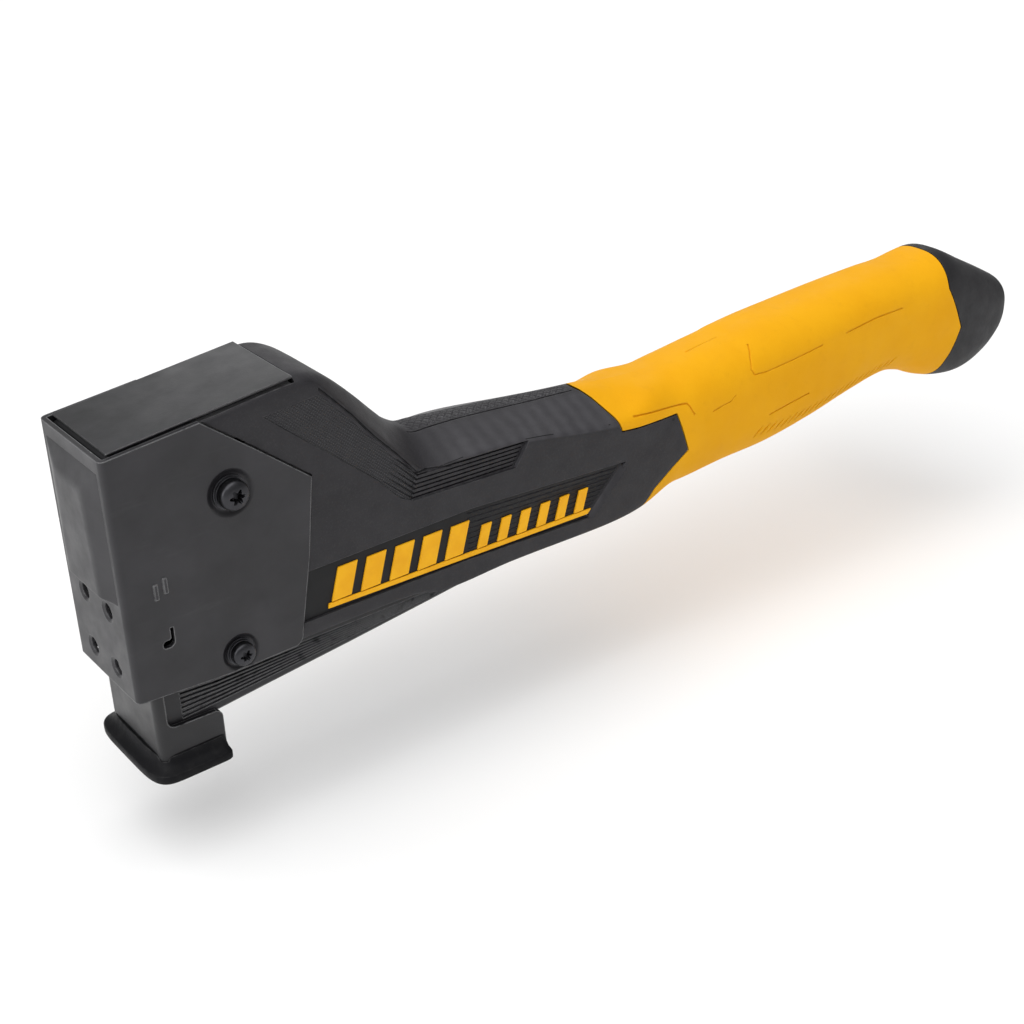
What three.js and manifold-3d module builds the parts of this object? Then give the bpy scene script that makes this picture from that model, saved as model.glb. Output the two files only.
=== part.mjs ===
// Hammer tacker: a staple gun swung like a hammer. Millimetres, +Z up, X runs from the nose back to
// the butt, Y across. Lengths are measured from the front face of the head plate and from the sole,
// and the whole group is moved at the end so that the origin is the middle of the sole's front land.
import * as THREE from 'three';
import { mergeVertices } from 'three/addons/utils/BufferGeometryUtils.js';
import { ConvexGeometry } from 'three/addons/geometries/ConvexGeometry.js';
import Module from 'manifold-3d';

const wasm = await Module();
wasm.setup();

// ---- driving dimensions ----------------------------------------------------------------------
const GAP = 0.3; // clearance between neighbouring pieces
const LAND_X = 3.4; // middle of the sole's front land

const PLATE_HALF = 17; // half width over the steel head plate
const PLATE_FRONT = -0.7; // front face of the head plate
const PLATE_SHEET = 1.4;
const PLATE_IN = PLATE_HALF - PLATE_SHEET;

const BODY_HALF = 16.3; // half width of the moulded body
const POCKET_HALF = PLATE_IN - GAP; // body under the head plate
const CAVITY_HALF = 13.9; // half width of the hollow the magazine swings in

const PIVOT = [148, 26]; // magazine pivot, x and z
const SWING = THREE.MathUtils.degToRad(7.5); // full travel of the magazine
const BLADE_R = 142; // front face of the driver blade, an arc about the pivot
const BLADE_SHEET = 1;
const BLADE_OVERRUN = 0.3; // how far the blade ends below the sole at full travel
const BLADE_TIP = PIVOT[1]
  - BLADE_R * Math.sin(Math.asin((PIVOT[1] + BLADE_OVERRUN) / BLADE_R) - SWING);
const BLADE_TOP = 82;

const BLOCK_HALF = 15; // strike block on top of the head
const DRIVER_HALF = 12.6; // steel block that carries the blade
const SKIRT_HALF = 13.5; // ribbed side skirt of the magazine
const SKIRT_SHEET = 1.6;
const SKIRT_TOP = 30;
const NOSE_HALF = 15.2; // folded steel nose
const NOSE_SHEET = 1.4;
const NOSE_FRONT = 4.2;

const UPPER_SCREW = [32, 76.5];
const LOWER_SCREW = [29.5, 30.2];
const STOP_PIN = [156, 32.1];
const STOP_PIN_R = 1.8;
const PIVOT_PIN_R = 2;
const PIN_HALF = 15; // half length of the blind cross pins

const RAIL_START = [9.8, 15.6]; // front end of the staple rail's top face
const RAIL_SLOPE = THREE.MathUtils.degToRad(5);
const RAIL_LENGTH = 108;
const RAIL_HINGE = [106.5, -4]; // along the rail, and below its top face

const SPRING_X = 72; // return spring

const BUTT_START = 313.4;

// ---- solids ----------------------------------------------------------------------------------
function solid(geometry) {
  const bare = geometry.clone();
  bare.deleteAttribute('normal');
  bare.deleteAttribute('uv');
  const merged = mergeVertices(bare, 1e-4);
  return new wasm.Manifold(new wasm.Mesh({
    numProp: 3,
    vertProperties: new Float32Array(merged.attributes.position.array),
    triVerts: new Uint32Array(merged.index.array),
  }));
}

function toGeometry(body) {
  const mesh = body.getMesh();
  const geometry = new THREE.BufferGeometry();
  geometry.setAttribute('position', new THREE.Float32BufferAttribute(mesh.vertProperties, 3));
  geometry.setIndex(Array.from(mesh.triVerts));
  geometry.computeVertexNormals();
  return geometry;
}

const join = (first, ...rest) => rest.reduce((sum, piece) => sum.add(piece), first);
const cut = (first, ...rest) => rest.reduce((left, piece) => left.subtract(piece), first);

function shapeOf(points) {
  return new THREE.Shape(points.map(([u, v]) => new THREE.Vector2(u, v)));
}

// Moves an extrusion so that its sketch axes u, v lie along two of X, Y, Z.
function laid(geometry, uAxis, vAxis) {
  const basis = new THREE.Matrix4().makeBasis(uAxis, vAxis, uAxis.clone().cross(vAxis));
  return geometry.applyMatrix4(basis);
}

const X = new THREE.Vector3(1, 0, 0);
const Y = new THREE.Vector3(0, 1, 0);
const Z = new THREE.Vector3(0, 0, 1);

function extruded(points, depth) {
  return new THREE.ExtrudeGeometry(shapeOf(points), { depth, bevelEnabled: false });
}

// A side outline (x, z) carried across from y0 to y1.
function acrossY(points, y0, y1) {
  return solid(laid(extruded(points, y1 - y0), X, Z).translate(0, y1, 0));
}

// A plan outline (x, y) carried up from z0 to z1.
function upZ(points, z0, z1) {
  return solid(extruded(points, z1 - z0).translate(0, 0, z0));
}

// A cross-section (y, z) carried back from x0 to x1.
function alongX(points, x0, x1) {
  return solid(laid(extruded(points, x1 - x0), Y, Z).translate(x0, 0, 0));
}

function box(x0, x1, y0, y1, z0, z1) {
  const geometry = new THREE.BoxGeometry(x1 - x0, y1 - y0, z1 - z0);
  return solid(geometry.translate((x0 + x1) / 2, (y0 + y1) / 2, (z0 + z1) / 2));
}

// A round bar across Y at (x, z).
function barY(radius, [x, z], y0, y1, sides = 24) {
  const geometry = new THREE.CylinderGeometry(radius, radius, y1 - y0, sides);
  return solid(geometry.translate(x, (y0 + y1) / 2, z));
}

function barX(radius, y, z, x0, x1, sides = 20) {
  const geometry = new THREE.CylinderGeometry(radius, radius, x1 - x0, sides);
  return solid(geometry.rotateZ(Math.PI / 2).translate((x0 + x1) / 2, y, z));
}

function barZ(radius, x, y, z0, z1, sides = 20) {
  const geometry = new THREE.CylinderGeometry(radius, radius, z1 - z0, sides);
  return solid(geometry.rotateX(Math.PI / 2).translate(x, y, (z0 + z1) / 2));
}

// A turned piece: profile points are (radius, distance along Y).
function turned(points, sides = 28) {
  return solid(new THREE.LatheGeometry(points.map(([r, h]) => new THREE.Vector2(r, h)), sides));
}

function mirrored(body) {
  return body.mirror([0, 1, 0]);
}

// Outline moved outwards by a distance, corners kept sharp.
function grown(points, distance) {
  const area = THREE.ShapeUtils.area(points.map(([x, y]) => new THREE.Vector2(x, y)));
  const side = area > 0 ? 1 : -1;
  return points.map((point, i) => {
    const before = points[(i + points.length - 1) % points.length];
    const after = points[(i + 1) % points.length];
    const a = new THREE.Vector2(point[0] - before[0], point[1] - before[1]).normalize();
    const b = new THREE.Vector2(after[0] - point[0], after[1] - point[1]).normalize();
    const na = new THREE.Vector2(a.y, -a.x).multiplyScalar(side);
    const nb = new THREE.Vector2(b.y, -b.x).multiplyScalar(side);
    const scale = distance / (1 + na.dot(nb));
    return [point[0] + (na.x + nb.x) * scale, point[1] + (na.y + nb.y) * scale];
  });
}

// Height read from a table of [x, value] rows, as a smooth curve through them.
function smooth(table, x) {
  let i = 0;
  while (i < table.length - 2 && x > table[i + 1][0]) i += 1;
  const slope = (k) => {
    if (k <= 0 || k >= table.length - 1) return 0;
    return (table[k + 1][1] - table[k - 1][1]) / (table[k + 1][0] - table[k - 1][0]);
  };
  const [x0, v0] = table[i];
  const [x1, v1] = table[i + 1];
  const span = x1 - x0;
  const t = THREE.MathUtils.clamp((x - x0) / span, 0, 1);
  const bend0 = slope(i) * span;
  const bend1 = slope(i + 1) * span;
  const t2 = t * t;
  const t3 = t2 * t;
  return v0 * (2 * t3 - 3 * t2 + 1) + bend0 * (t3 - 2 * t2 + t)
    + v1 * (3 * t2 - 2 * t3) + bend1 * (t3 - t2);
}

// ---- outer skin of body, grip and butt: one lofted surface -------------------------------------
const TOP = [[24, 98], [40, 99.6], [54, 100.9], [58, 100.6], [62, 98.8], [66, 95.8], [70, 92.2],
  [76, 86.2], [82, 79.8], [88, 73.8], [94, 69.9], [100, 69.2], [128, 66.2], [160, 62.5],
  [190, 60.9], [210, 62.8], [230, 64.9], [250, 65.9], [270, 66.8], [290, 67.3], [302, 67.5],
  [310, 68.3], [316, 68.6], [320, 67.4], [330, 62], [340, 56.4], [346, 52.6], [348, 50.6],
  [350, 48.6]];
const SHOULDER = [[24, 97.2], [54, 98.9], [59, 97.8], [64, 92.5], [90, 62.6], [94, 61.6],
  [112, 61.8], [128, 60], [158, 54.8], [200, 54]];
const BOTTOM = [[24, 25.3], [84, 25], [96, 22.4], [120, 22.7], [150, 21.8], [190, 21],
  [210, 21.7], [230, 22], [250, 24.6], [270, 28.3], [288, 30.3], [300, 27.6], [310, 23.3],
  [320, 20.3], [330, 19.6], [340, 23], [346, 28], [348, 31], [350, 33.5]];
const HALF = [[24, BODY_HALF], [170, BODY_HALF], [190, 16], [250, 16], [288, 15.2], [310, 16],
  [330, 16], [340, 14.9], [346, 13.6], [348, 12.4], [350, 10]];
const FLAT = [[24, 14.4], [58, 14], [94, 3.8], [200, 3.8]];
const SHARP = 40; // corner power of the body's cross-section
const SOFT = 2.7; // corner power of the grip's cross-section

// Distance from the section's centre to its edge in the direction (side, up): a polygon whose
// corners are rounded more as the power falls, down to the soft oval of the grip.
function reach(x, side, up, shrink) {
  const top = smooth(TOP, x) - shrink;
  const bottom = smooth(BOTTOM, x) + shrink;
  const half = smooth(HALF, x) - shrink;
  const middle = (top + bottom) / 2;
  const soft = THREE.MathUtils.smoothstep(x, 150, 190);
  const power = SHARP * (SOFT / SHARP) ** soft;
  const shoulder = smooth(SHOULDER, x) - shrink;
  const flat = Math.max(smooth(FLAT, x) - shrink / 2, 1);
  const rise = top - shoulder;
  const run = half - flat;
  const length = Math.hypot(rise, run);
  const bevel = (half * rise + (shoulder - middle) * run) / length;
  const bevelPart = (Math.abs(side) * rise + up * run) / length / bevel;
  const parts = [Math.abs(side) / half, up / (top - middle), -up / (middle - bottom),
    bevelPart * (1 - THREE.MathUtils.smoothstep(x, 165, 205))];
  const sum = parts.reduce((total, part) => total + Math.max(part, 0) ** power, 0);
  return { radius: sum ** (-1 / power), middle };
}

const SKIN_STATIONS = [24, 54, 58, 60, 63, 67, 73, 81, 89, 94, 100, 114, 132, 151, 164, 174, 184,
  196, 212, 230, 248, 262, 276, 288, 298, 308, 316, 324, 332, 340, 345, 348, 350];

// Lofts the skin over a stretch of stations, shrunk inwards by a distance.
function skin(stations, shrink = 0, sides = 32) {
  const last = stations.length - 1;
  const geometry = new THREE.CylinderGeometry(1, 1, 1, sides, last);
  const place = geometry.attributes.position;
  for (let i = 0; i < place.count; i += 1) {
    const station = stations[Math.round((place.getY(i) + 0.5) * last)];
    const away = Math.hypot(place.getX(i), place.getZ(i));
    const side = away > 0.5 ? place.getX(i) / away : 0;
    const up = away > 0.5 ? place.getZ(i) / away : 1;
    const { radius, middle } = reach(station, side, up, shrink);
    const r = away > 0.5 ? radius : 0;
    place.setXYZ(i, station, -side * r, middle + up * r);
  }
  return solid(geometry);
}

// Line where the body ends and the grip begins, with the body's wedge-shaped tongue.
const GRIP_SEAM = [[155, 90], [155, 63], [156.5, 62.2], [158.1, 60.3], [159.4, 58], [160.8, 55.5],
  [162, 51.4], [169, 49.9], [185.1, 49.7], [189.6, 36.5], [175.5, 27.7], [171.6, 23], [171.8, 5]];
const BUTT_SEAM = [[BUTT_START, 90], [BUTT_START, 58], [320.6, 42.2], [316, 30], [311, 5]];

const bodySide = [[0, 5], [0, 110], [155, 110], ...GRIP_SEAM];
const buttSide = [...BUTT_SEAM, [380, 5], [380, 110], [BUTT_START, 110]];

const PLATE_SIDE = [[PLATE_FRONT, 26.8], [PLATE_FRONT, 95.3], [26, 97.6], [39.9, 86.2],
  [55.3, 73.1], [52.4, 50.4], [48.2, 27.6], [47.2, 25.3], [44.5, 24.1], [27, 25]];

function core(shrink) {
  return skin([150, 172, 196, 225, 255, 288, 312, 334], shrink, 16);
}

function bodyCavity() {
  const outline = [[10, 5], [10, 110], [54, 110], [54, 88.8], [43.5, 88.1], [43.5, 52.5],
    [90, 52.5], [112, 48], [160, 40], [160, 5]];
  const well = [[10, 85.7], [10, 110], [53.9, 110], [53.9, 88.9], [43.5, 88.2]];
  return join(acrossY(outline, -CAVITY_HALF, CAVITY_HALF),
    acrossY(well, -BLOCK_HALF - GAP, BLOCK_HALF + GAP));
}

// Shallow panel that carries the yellow stripes.
const PANEL_SIDE = [[46, 45.6], [106.5, 45.5], [163.8, 41.2], [149.3, 26.9], [105.8, 29.5],
  [46, 30.6]];
const PANEL_FLOOR = BODY_HALF - 0.75;

function housing() {
  const shell = join(acrossY(bodySide, -30, 30).intersect(skin(SKIN_STATIONS)), core(5));
  const pocket = acrossY(grown(PLATE_SIDE, GAP), POCKET_HALF, 30);
  const panel = acrossY(PANEL_SIDE, PANEL_FLOOR, 30);
  return cut(shell, bodyCavity(), pocket, mirrored(pocket), panel, mirrored(panel),
    barY(2.6, UPPER_SCREW, -20, 20), barY(1.9, LOWER_SCREW, -20, 20),
    barY(PIVOT_PIN_R + GAP, PIVOT, -PIN_HALF - GAP, PIN_HALF + GAP),
    barY(STOP_PIN_R + GAP, STOP_PIN, -PIN_HALF - GAP, PIN_HALF + GAP));
}

function gripSleeve() {
  const whole = skin(SKIN_STATIONS.filter((x) => x > 150 && x < 330));
  return cut(whole, acrossY(grown(bodySide, GAP), -30, 30), acrossY(grown(buttSide, GAP), -30, 30),
    core(5 - GAP));
}

function buttCap() {
  const whole = skin(SKIN_STATIONS.filter((x) => x > 300));
  return cut(whole.intersect(acrossY(buttSide, -30, 30)), core(5 - GAP),
    box(330, 334.4, -9, 9, 32, 50));
}

// Yellow stripes in the side panel: slanted blocks standing on one thin line.
function stripes() {
  const base = [[57.5, 33.2], [57.2, 31.8], [150.4, 28.3], [151.8, 29.7]];
  const floor = PANEL_FLOOR + GAP;
  const block = (x, width, height) => {
    const low = 32.8 - (x - 57.5) * 0.0371;
    const lean = height * 0.27;
    return acrossY([[x, low], [x + width, low], [x + width + lean, low + height],
      [x + lean, low + height]], floor, BODY_HALF - 0.1);
  };
  const blocks = [];
  for (let i = 0; i < 5; i += 1) blocks.push(block(58.5 + i * 9.4, 6.2, 10.4));
  for (let i = 0; i < 6; i += 1) blocks.push(block(107.5 + i * 7.2, 3.4, 7.6));
  return join(acrossY(base, floor, BODY_HALF - 0.1), ...blocks);
}

// ---- head ------------------------------------------------------------------------------------
// Rounded rectangle in plan, open at the back, for the folded sheets.
function foldedPlan(front, back, half, radius) {
  const corner = (y, from, to) => [0, 0.25, 0.5, 0.75, 1].map((t) => {
    const angle = THREE.MathUtils.lerp(from, to, t);
    return [front + radius + radius * Math.cos(angle), y + radius * Math.sin(angle)];
  });
  return [[back, half], ...corner(half - radius, Math.PI / 2, Math.PI),
    ...corner(radius - half, Math.PI, Math.PI * 1.5), [back, -half]];
}

// Raised front panel of the head plate: a shallow hipped box that ends square at the bottom.
function frontPanel(inset) {
  const out = 2.2 - inset;
  const points = [[0, 14.4, 91.6], [0, 14.6, 55], [-out, 8.4, 55], [-out, 6.4, 86]];
  const depth = inset + 0.5;
  const rear = [[depth, 14.4 - inset, 91.6 - inset], [depth, 14.6 - inset, 55 + inset]];
  const front = points.map(([x, y, z]) => [x, y - inset, z === 55 ? z + inset : z - inset]);
  const all = [...front, ...rear].flatMap(([x, y, z]) => [[x, y, z], [x, -y, z]]);
  return solid(new ConvexGeometry(all.map(([x, y, z]) => new THREE.Vector3(x + PLATE_FRONT, y, z))));
}

// Two by two dimpled holes in the front of the head plate.
function frontHoles() {
  const dimple = turned([[0, -1], [3.3, -1], [1.7, 1], [1.7, 3], [0, 3]], 20);
  const holes = [];
  for (const y of [-6.7, 6.7]) {
    for (const z of [33.1, 49.9]) {
      holes.push(dimple.rotate([0, 0, -90]).translate([PLATE_FRONT, y, z]));
    }
  }
  return join(...holes);
}

// Small features pressed into each side of the head plate.
function sideSlot() {
  return join(box(10.6, 11.6, 10, 20, 39.6, 45.3), box(8.6, 11.6, 10, 20, 39.6, 40.8));
}

function sideBumps() {
  return join(box(10.7, 11.7, 16, PLATE_HALF + 0.5, 55.5, 59.8),
    box(8, 9, 16, PLATE_HALF + 0.5, 54.5, 58.8));
}

const DISH_FLOOR = PLATE_HALF - 0.9;

function headPlate() {
  const outside = upZ(foldedPlan(PLATE_FRONT, 60, PLATE_HALF, 1.7), 20, 100);
  const inside = upZ(foldedPlan(PLATE_FRONT + PLATE_SHEET, 61, PLATE_IN, 0.4), 19, 101);
  const sheet = acrossY(PLATE_SIDE, -20, 20).intersect(outside).add(frontPanel(0));
  const near = join(sideSlot(), barY(5.3, UPPER_SCREW, DISH_FLOOR, 20, 32),
    barY(4.5, LOWER_SCREW, DISH_FLOOR, 20, 28));
  const raised = sideBumps();
  return cut(join(sheet, raised, mirrored(raised)), inside, frontPanel(PLATE_SHEET),
    frontHoles(), near, mirrored(near),
    barY(2.6, UPPER_SCREW, -20, 20), barY(2, LOWER_SCREW, -20, 20));
}

function strikeBlock() {
  const outline = [[2, 86.4], [2, 95.3], [3, 96.4], [52.6, 101.2], [53.6, 100.2], [53.6, 89.2]];
  const bevel = 0.8;
  const geometry = new THREE.ExtrudeGeometry(shapeOf(grown(outline, -bevel)), {
    depth: 2 * (BLOCK_HALF - bevel),
    bevelThickness: bevel,
    bevelSize: bevel,
    bevelSegments: 2,
  });
  return solid(laid(geometry, X, Z).translate(0, BLOCK_HALF - bevel, 0));
}

// Points on an arc about the pivot, by height.
function swingArc(radius, z0, z1, steps) {
  return Array.from({ length: steps + 1 }, (_, i) => {
    const z = THREE.MathUtils.lerp(z0, z1, i / steps);
    return [PIVOT[0] - Math.sqrt(radius ** 2 - (z - PIVOT[1]) ** 2), z];
  });
}

function driverBlade() {
  const front = swingArc(BLADE_R, BLADE_TIP, BLADE_TOP, 14);
  const back = swingArc(BLADE_R - BLADE_SHEET, BLADE_TIP, BLADE_TOP, 14).reverse();
  return cut(acrossY([...front, ...back], -6, 6), rivetBar(3.5, 1.5), rivetBar(-3.5, 1.5));
}

const RIVET_ANGLE = Math.asin(48 / (BLADE_R - 1));

// Brings something built along +X from the pivot round to the blade rivets' direction.
function toRivet(body, y) {
  return body.rotate([0, THREE.MathUtils.radToDeg(RIVET_ANGLE), 0])
    .translate([PIVOT[0], y, PIVOT[1]]);
}

function rivetBar(y, radius) {
  return toRivet(barX(radius, 0, 0, -BLADE_R - 4, -BLADE_R + 9), y);
}

function bladeRivet(y) {
  const head = turned([[0, 0], [1.2, 0], [1.2, 9], [2.3, 9], [2, 10], [1, 10.5], [0, 10.5]], 16);
  return toRivet(head.rotate([0, 0, 90]).translate([-BLADE_R + 8.7, 0, 0]), y);
}

function driverBlock() {
  const arc = swingArc(BLADE_R - BLADE_SHEET - GAP, 49.9, 85.5, 10);
  const outline = [...arc, [42.8, 87.6], [42.8, 49.9]];
  return cut(acrossY(outline, -DRIVER_HALF, DRIVER_HALF), barY(4.9, UPPER_SCREW, -20, 20, 28),
    rivetBar(3.5, 1.5), rivetBar(-3.5, 1.5));
}

function crossTube() {
  return turned([[2.6, -13.4], [4.5, -13.4], [4.5, 13.4], [2.6, 13.4], [2.6, -13.4]])
    .translate([UPPER_SCREW[0], 0, UPPER_SCREW[1]]);
}

// Round-headed screw along +Y with a cross recess; sizes are radii and distances from the middle.
function screw([x, z], shank, tip, head, under, crown) {
  const edge = under + (crown - under) * 0.45;
  const body = turned([[0, tip], [shank - 0.4, tip], [shank, tip + 0.5], [shank, under],
    [head, under], [head, edge], [head * 0.86, crown - 0.4], [head * 0.6, crown], [0, crown]], 18);
  const arm = head * 0.52;
  const half = head * 0.11;
  const deep = crown - (crown - under) * 0.6;
  return cut(body, box(-arm, arm, deep, crown + 1, -half, half),
    box(-half, half, deep, crown + 1, -arm, arm)).rotate([0, 20, 0]).translate([x, 0, z]);
}

function washer([x, z], hole, rim) {
  const low = DISH_FLOOR + GAP;
  return turned([[hole, low], [rim, low], [rim, low + 0.8], [hole, low + 0.8], [hole, low]], 20)
    .translate([x, 0, z]);
}

const HEAD_SEAT = DISH_FLOOR + 2 * GAP + 0.8;
const upperScrew = () => screw(UPPER_SCREW, 2.2, 6, 4.1, HEAD_SEAT, 20.8);
const lowerScrew = () => screw(LOWER_SCREW, 1.6, 14.15, 3.3, HEAD_SEAT, 19.9);
const upperWasher = () => washer(UPPER_SCREW, 2.6, 4.8);
const lowerWasher = () => washer(LOWER_SCREW, 2, 4);

function bumpPad() {
  return box(15, 34, -11, 11, 47.9, 49.6);
}

// A coil along +Z, as a bent round wire.
function coil(radius, wire, turns, length, stepsPerTurn, sides) {
  class Helix extends THREE.Curve {
    getPoint(t) {
      const angle = t * turns * 2 * Math.PI;
      return new THREE.Vector3(radius * Math.cos(angle), radius * Math.sin(angle), t * length);
    }
  }
  const ring = Array.from({ length: sides }, (_, i) => {
    const angle = (i / sides) * 2 * Math.PI;
    return [wire * Math.cos(angle), wire * Math.sin(angle)];
  });
  return solid(new THREE.ExtrudeGeometry(shapeOf(ring), {
    steps: Math.round(turns * stepsPerTurn), extrudePath: new Helix(), bevelEnabled: false,
  }));
}

function returnSpring() {
  return coil(6, 0.8, 5.5, 18.4, 12, 6).translate([SPRING_X, 0, 32.7]);
}

// ---- magazine --------------------------------------------------------------------------------
function noseFrame() {
  const outer = foldedPlan(NOSE_FRONT, 22.8, NOSE_HALF, 2.6);
  const inner = foldedPlan(NOSE_FRONT + NOSE_SHEET, 30, NOSE_HALF - NOSE_SHEET, 1.2);
  const side = [[0, 2.3], [0, 45], [7, 45], [7, 17.2], [7.7, 15.4], [9.5, 14.6], [21.2, 14.2],
    [22.8, 12], [22.8, 2.3]];
  return cut(upZ(outer, 0, 50).intersect(acrossY(side, -30, 30)), upZ(inner, -1, 51));
}

// Rubber foot: the plan is a rounded rectangle that flares out to a rim at the sole.
function footPlan(side, ahead, inset) {
  const parts = [Math.abs(side) / (18.9 - inset),
    ahead > 0 ? ahead / (11.9 - inset) : -ahead / (11 - Math.min(inset, 0.3))];
  const power = ahead > 0 ? 5 : 40;
  return parts.reduce((total, part) => total + part ** power, 0) ** (-1 / power);
}

const FOOT_MIDDLE = 12.2;
const FOOT_LEVELS = [[0, 0.5], [0.5, 0], [2.5, 0], [3, 0.7], [3.5, 2], [4.5, 2.9], [6.2, 3.2]];

function noseBumper() {
  const last = FOOT_LEVELS.length - 1;
  const geometry = new THREE.CylinderGeometry(1, 1, 1, 48, last);
  const place = geometry.attributes.position;
  for (let i = 0; i < place.count; i += 1) {
    const [level, inset] = FOOT_LEVELS[Math.round((place.getY(i) + 0.5) * last)];
    const away = Math.hypot(place.getX(i), place.getZ(i));
    const side = away > 0.5 ? place.getX(i) / away : 0;
    const ahead = away > 0.5 ? place.getZ(i) / away : 0;
    const r = away > 0.5 ? footPlan(side, ahead, inset) : 0;
    place.setXYZ(i, FOOT_MIDDLE - ahead * r, -side * r, level);
  }
  const opening = [[6.7, -9], [6.7, 9], [9.4, 12.4], [40, 12.4], [40, -12.4], [9.4, -12.4]];
  const seat = cut(upZ(foldedPlan(NOSE_FRONT - GAP, 23, NOSE_HALF + GAP, 2.6), 2, 8),
    upZ(foldedPlan(NOSE_FRONT + NOSE_SHEET + GAP, 30, NOSE_HALF - NOSE_SHEET - GAP, 1.2), 1, 9));
  const lip = box(NOSE_FRONT, 30, -NOSE_HALF, NOSE_HALF, 5, 8);
  return cut(solid(geometry), upZ(opening, -1, 9), seat, lip);
}

function magazineSkirt() {
  const outline = [[7.6, 12.4], [7.6, SKIRT_TOP], [158, SKIRT_TOP], [158, 23.9], [153, 22.6],
    [148, 21.4], [142, 21.6], [120, 21.6], [105.7, 20.7], [91, 19.2], [64, 16.6], [38, 14.3],
    [23, 12.9]];
  const inside = SKIRT_HALF - SKIRT_SHEET;
  const web = SKIRT_TOP - SKIRT_SHEET;
  return cut(acrossY(outline, -SKIRT_HALF, SKIRT_HALF), box(0, 170, -inside, inside, 0, web),
    box(138, 152.5, -inside, inside, 0, 40), barY(PIVOT_PIN_R + 0.4, PIVOT, -20, 20),
    barZ(1.5, 24, 0, 20, 40), barZ(1.5, 102, 0, 20, 40));
}

function pivotSleeve() {
  const inner = PIVOT_PIN_R + 0.4;
  return turned([[inner, -11.6], [3.9, -11.6], [3.9, 11.6], [inner, 11.6], [inner, -11.6]])
    .translate([PIVOT[0], 0, PIVOT[1]]);
}

// Moves a piece drawn along the level rail into its slanted place.
function onRail(body) {
  return body.rotate([0, -THREE.MathUtils.radToDeg(RAIL_SLOPE), 0])
    .translate([RAIL_START[0], 0, RAIL_START[1]]);
}

// Height of a point of the slanted rail frame above the sole, near a given x.
function railHeight(x, above) {
  return RAIL_START[1] + (x - RAIL_START[0]) * Math.tan(RAIL_SLOPE)
    + above / Math.cos(RAIL_SLOPE);
}

function channelSection(half, top, bottom, sheet) {
  const inner = half - sheet;
  return [[-half, bottom], [-inner, bottom], [-inner, top - sheet], [inner, top - sheet],
    [inner, bottom], [half, bottom], [half, top], [-half, top]];
}

function stapleChannel() {
  const hole = barY(1.8, RAIL_HINGE, -20, 20);
  const body = cut(alongX(channelSection(7.6, 2.8, -6.6, 1.1), 0, RAIL_LENGTH + 2), hole);
  return cut(onRail(body), barZ(1.5, 24, 0, 10, 40), barZ(1.5, 102, 0, 10, 40));
}

// Rivet down through the skirt's web and the channel's top.
function channelRivet(x) {
  const low = railHeight(x, 1.6) + 0.2;
  const top = SKIRT_TOP + GAP;
  const profile = [[0, low], [1.2, low], [1.2, top], [2.6, top], [2.2, top + 0.9], [0, top + 1.2]];
  return turned(profile, 16).rotate([90, 0, 0]).translate([x, 0, 0]);
}

function springCup() {
  const low = SKIRT_TOP + GAP;
  return turned([[2.5, low], [8.2, low], [8.2, low + 1.2], [2.5, low + 1.2], [2.5, low]])
    .rotate([90, 0, 0]).translate([SPRING_X, 0, 0]);
}

function railHingePin() {
  return onRail(barY(1.5, RAIL_HINGE, -8.4, 8.4));
}

// ---- staple rail and follower ------------------------------------------------------------------
function stapleRail() {
  const walls = alongX(channelSection(5, 0, -8, 1.2), 0.3, RAIL_LENGTH);
  const nose = box(0.3, 1.8, -4.2, 4.2, -8, -0.5);
  return onRail(cut(join(walls, nose), box(6, 100, -1.4, 1.4, -3, 2),
    barY(1.8, RAIL_HINGE, -20, 20)));
}

function guideRod() {
  return onRail(barX(1.1, 0, -4.4, 2.1, 97.7, 14));
}

function rodEnd() {
  return onRail(box(98, 103, -3.4, 3.4, -7.4, -1.6));
}

function follower() {
  const saddle = alongX(channelSection(6.2, 1.4, -5.6, 0.9), 4.5, 19);
  const neck = box(6.5, 18, -0.9, 0.9, -3, 1);
  const ring = box(6.5, 18, -2.5, 2.5, -6.5, -2.2);
  return onRail(cut(join(saddle, neck, ring), barX(1.5, 0, -4.4, 0, 30)));
}

function followerSpring() {
  const wire = coil(2.1, 0.35, 18, 78.5, 8, 4).rotate([0, 90, 0]);
  return onRail(wire.translate([18.9, 0, -4.4]));
}

// ---- finishes ----------------------------------------------------------------------------------
function finish(color, roughness, metalness) {
  return new THREE.MeshStandardMaterial({ color, roughness, metalness });
}

const blackSteel = () => finish(0x414042, 0.45, 0.6);
const darkMoulding = () => finish(0x3a383c, 0.75, 0);
const yellowRubber = () => finish(0xf2b01e, 0.7, 0);
const yellowPaint = () => finish(0xf6b91c, 0.6, 0);
const blackRubber = () => finish(0x1e1e1f, 0.85, 0);
const blackOxide = () => finish(0x1c1c1e, 0.4, 0.8);
const brightSteel = () => finish(0x9a9b9e, 0.35, 0.9);
const springSteel = () => finish(0x77787c, 0.3, 0.9);

// ---- assembly ----------------------------------------------------------------------------------
const group = new THREE.Group();

function add(name, body, material) {
  const mesh = new THREE.Mesh(toGeometry(body), material);
  mesh.name = name;
  mesh.position.x = -LAND_X;
  group.add(mesh);
}

function addPair(name, body, material) {
  add(`${name}_left`, body, material());
  add(`${name}_right`, mirrored(body), material());
}

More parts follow.
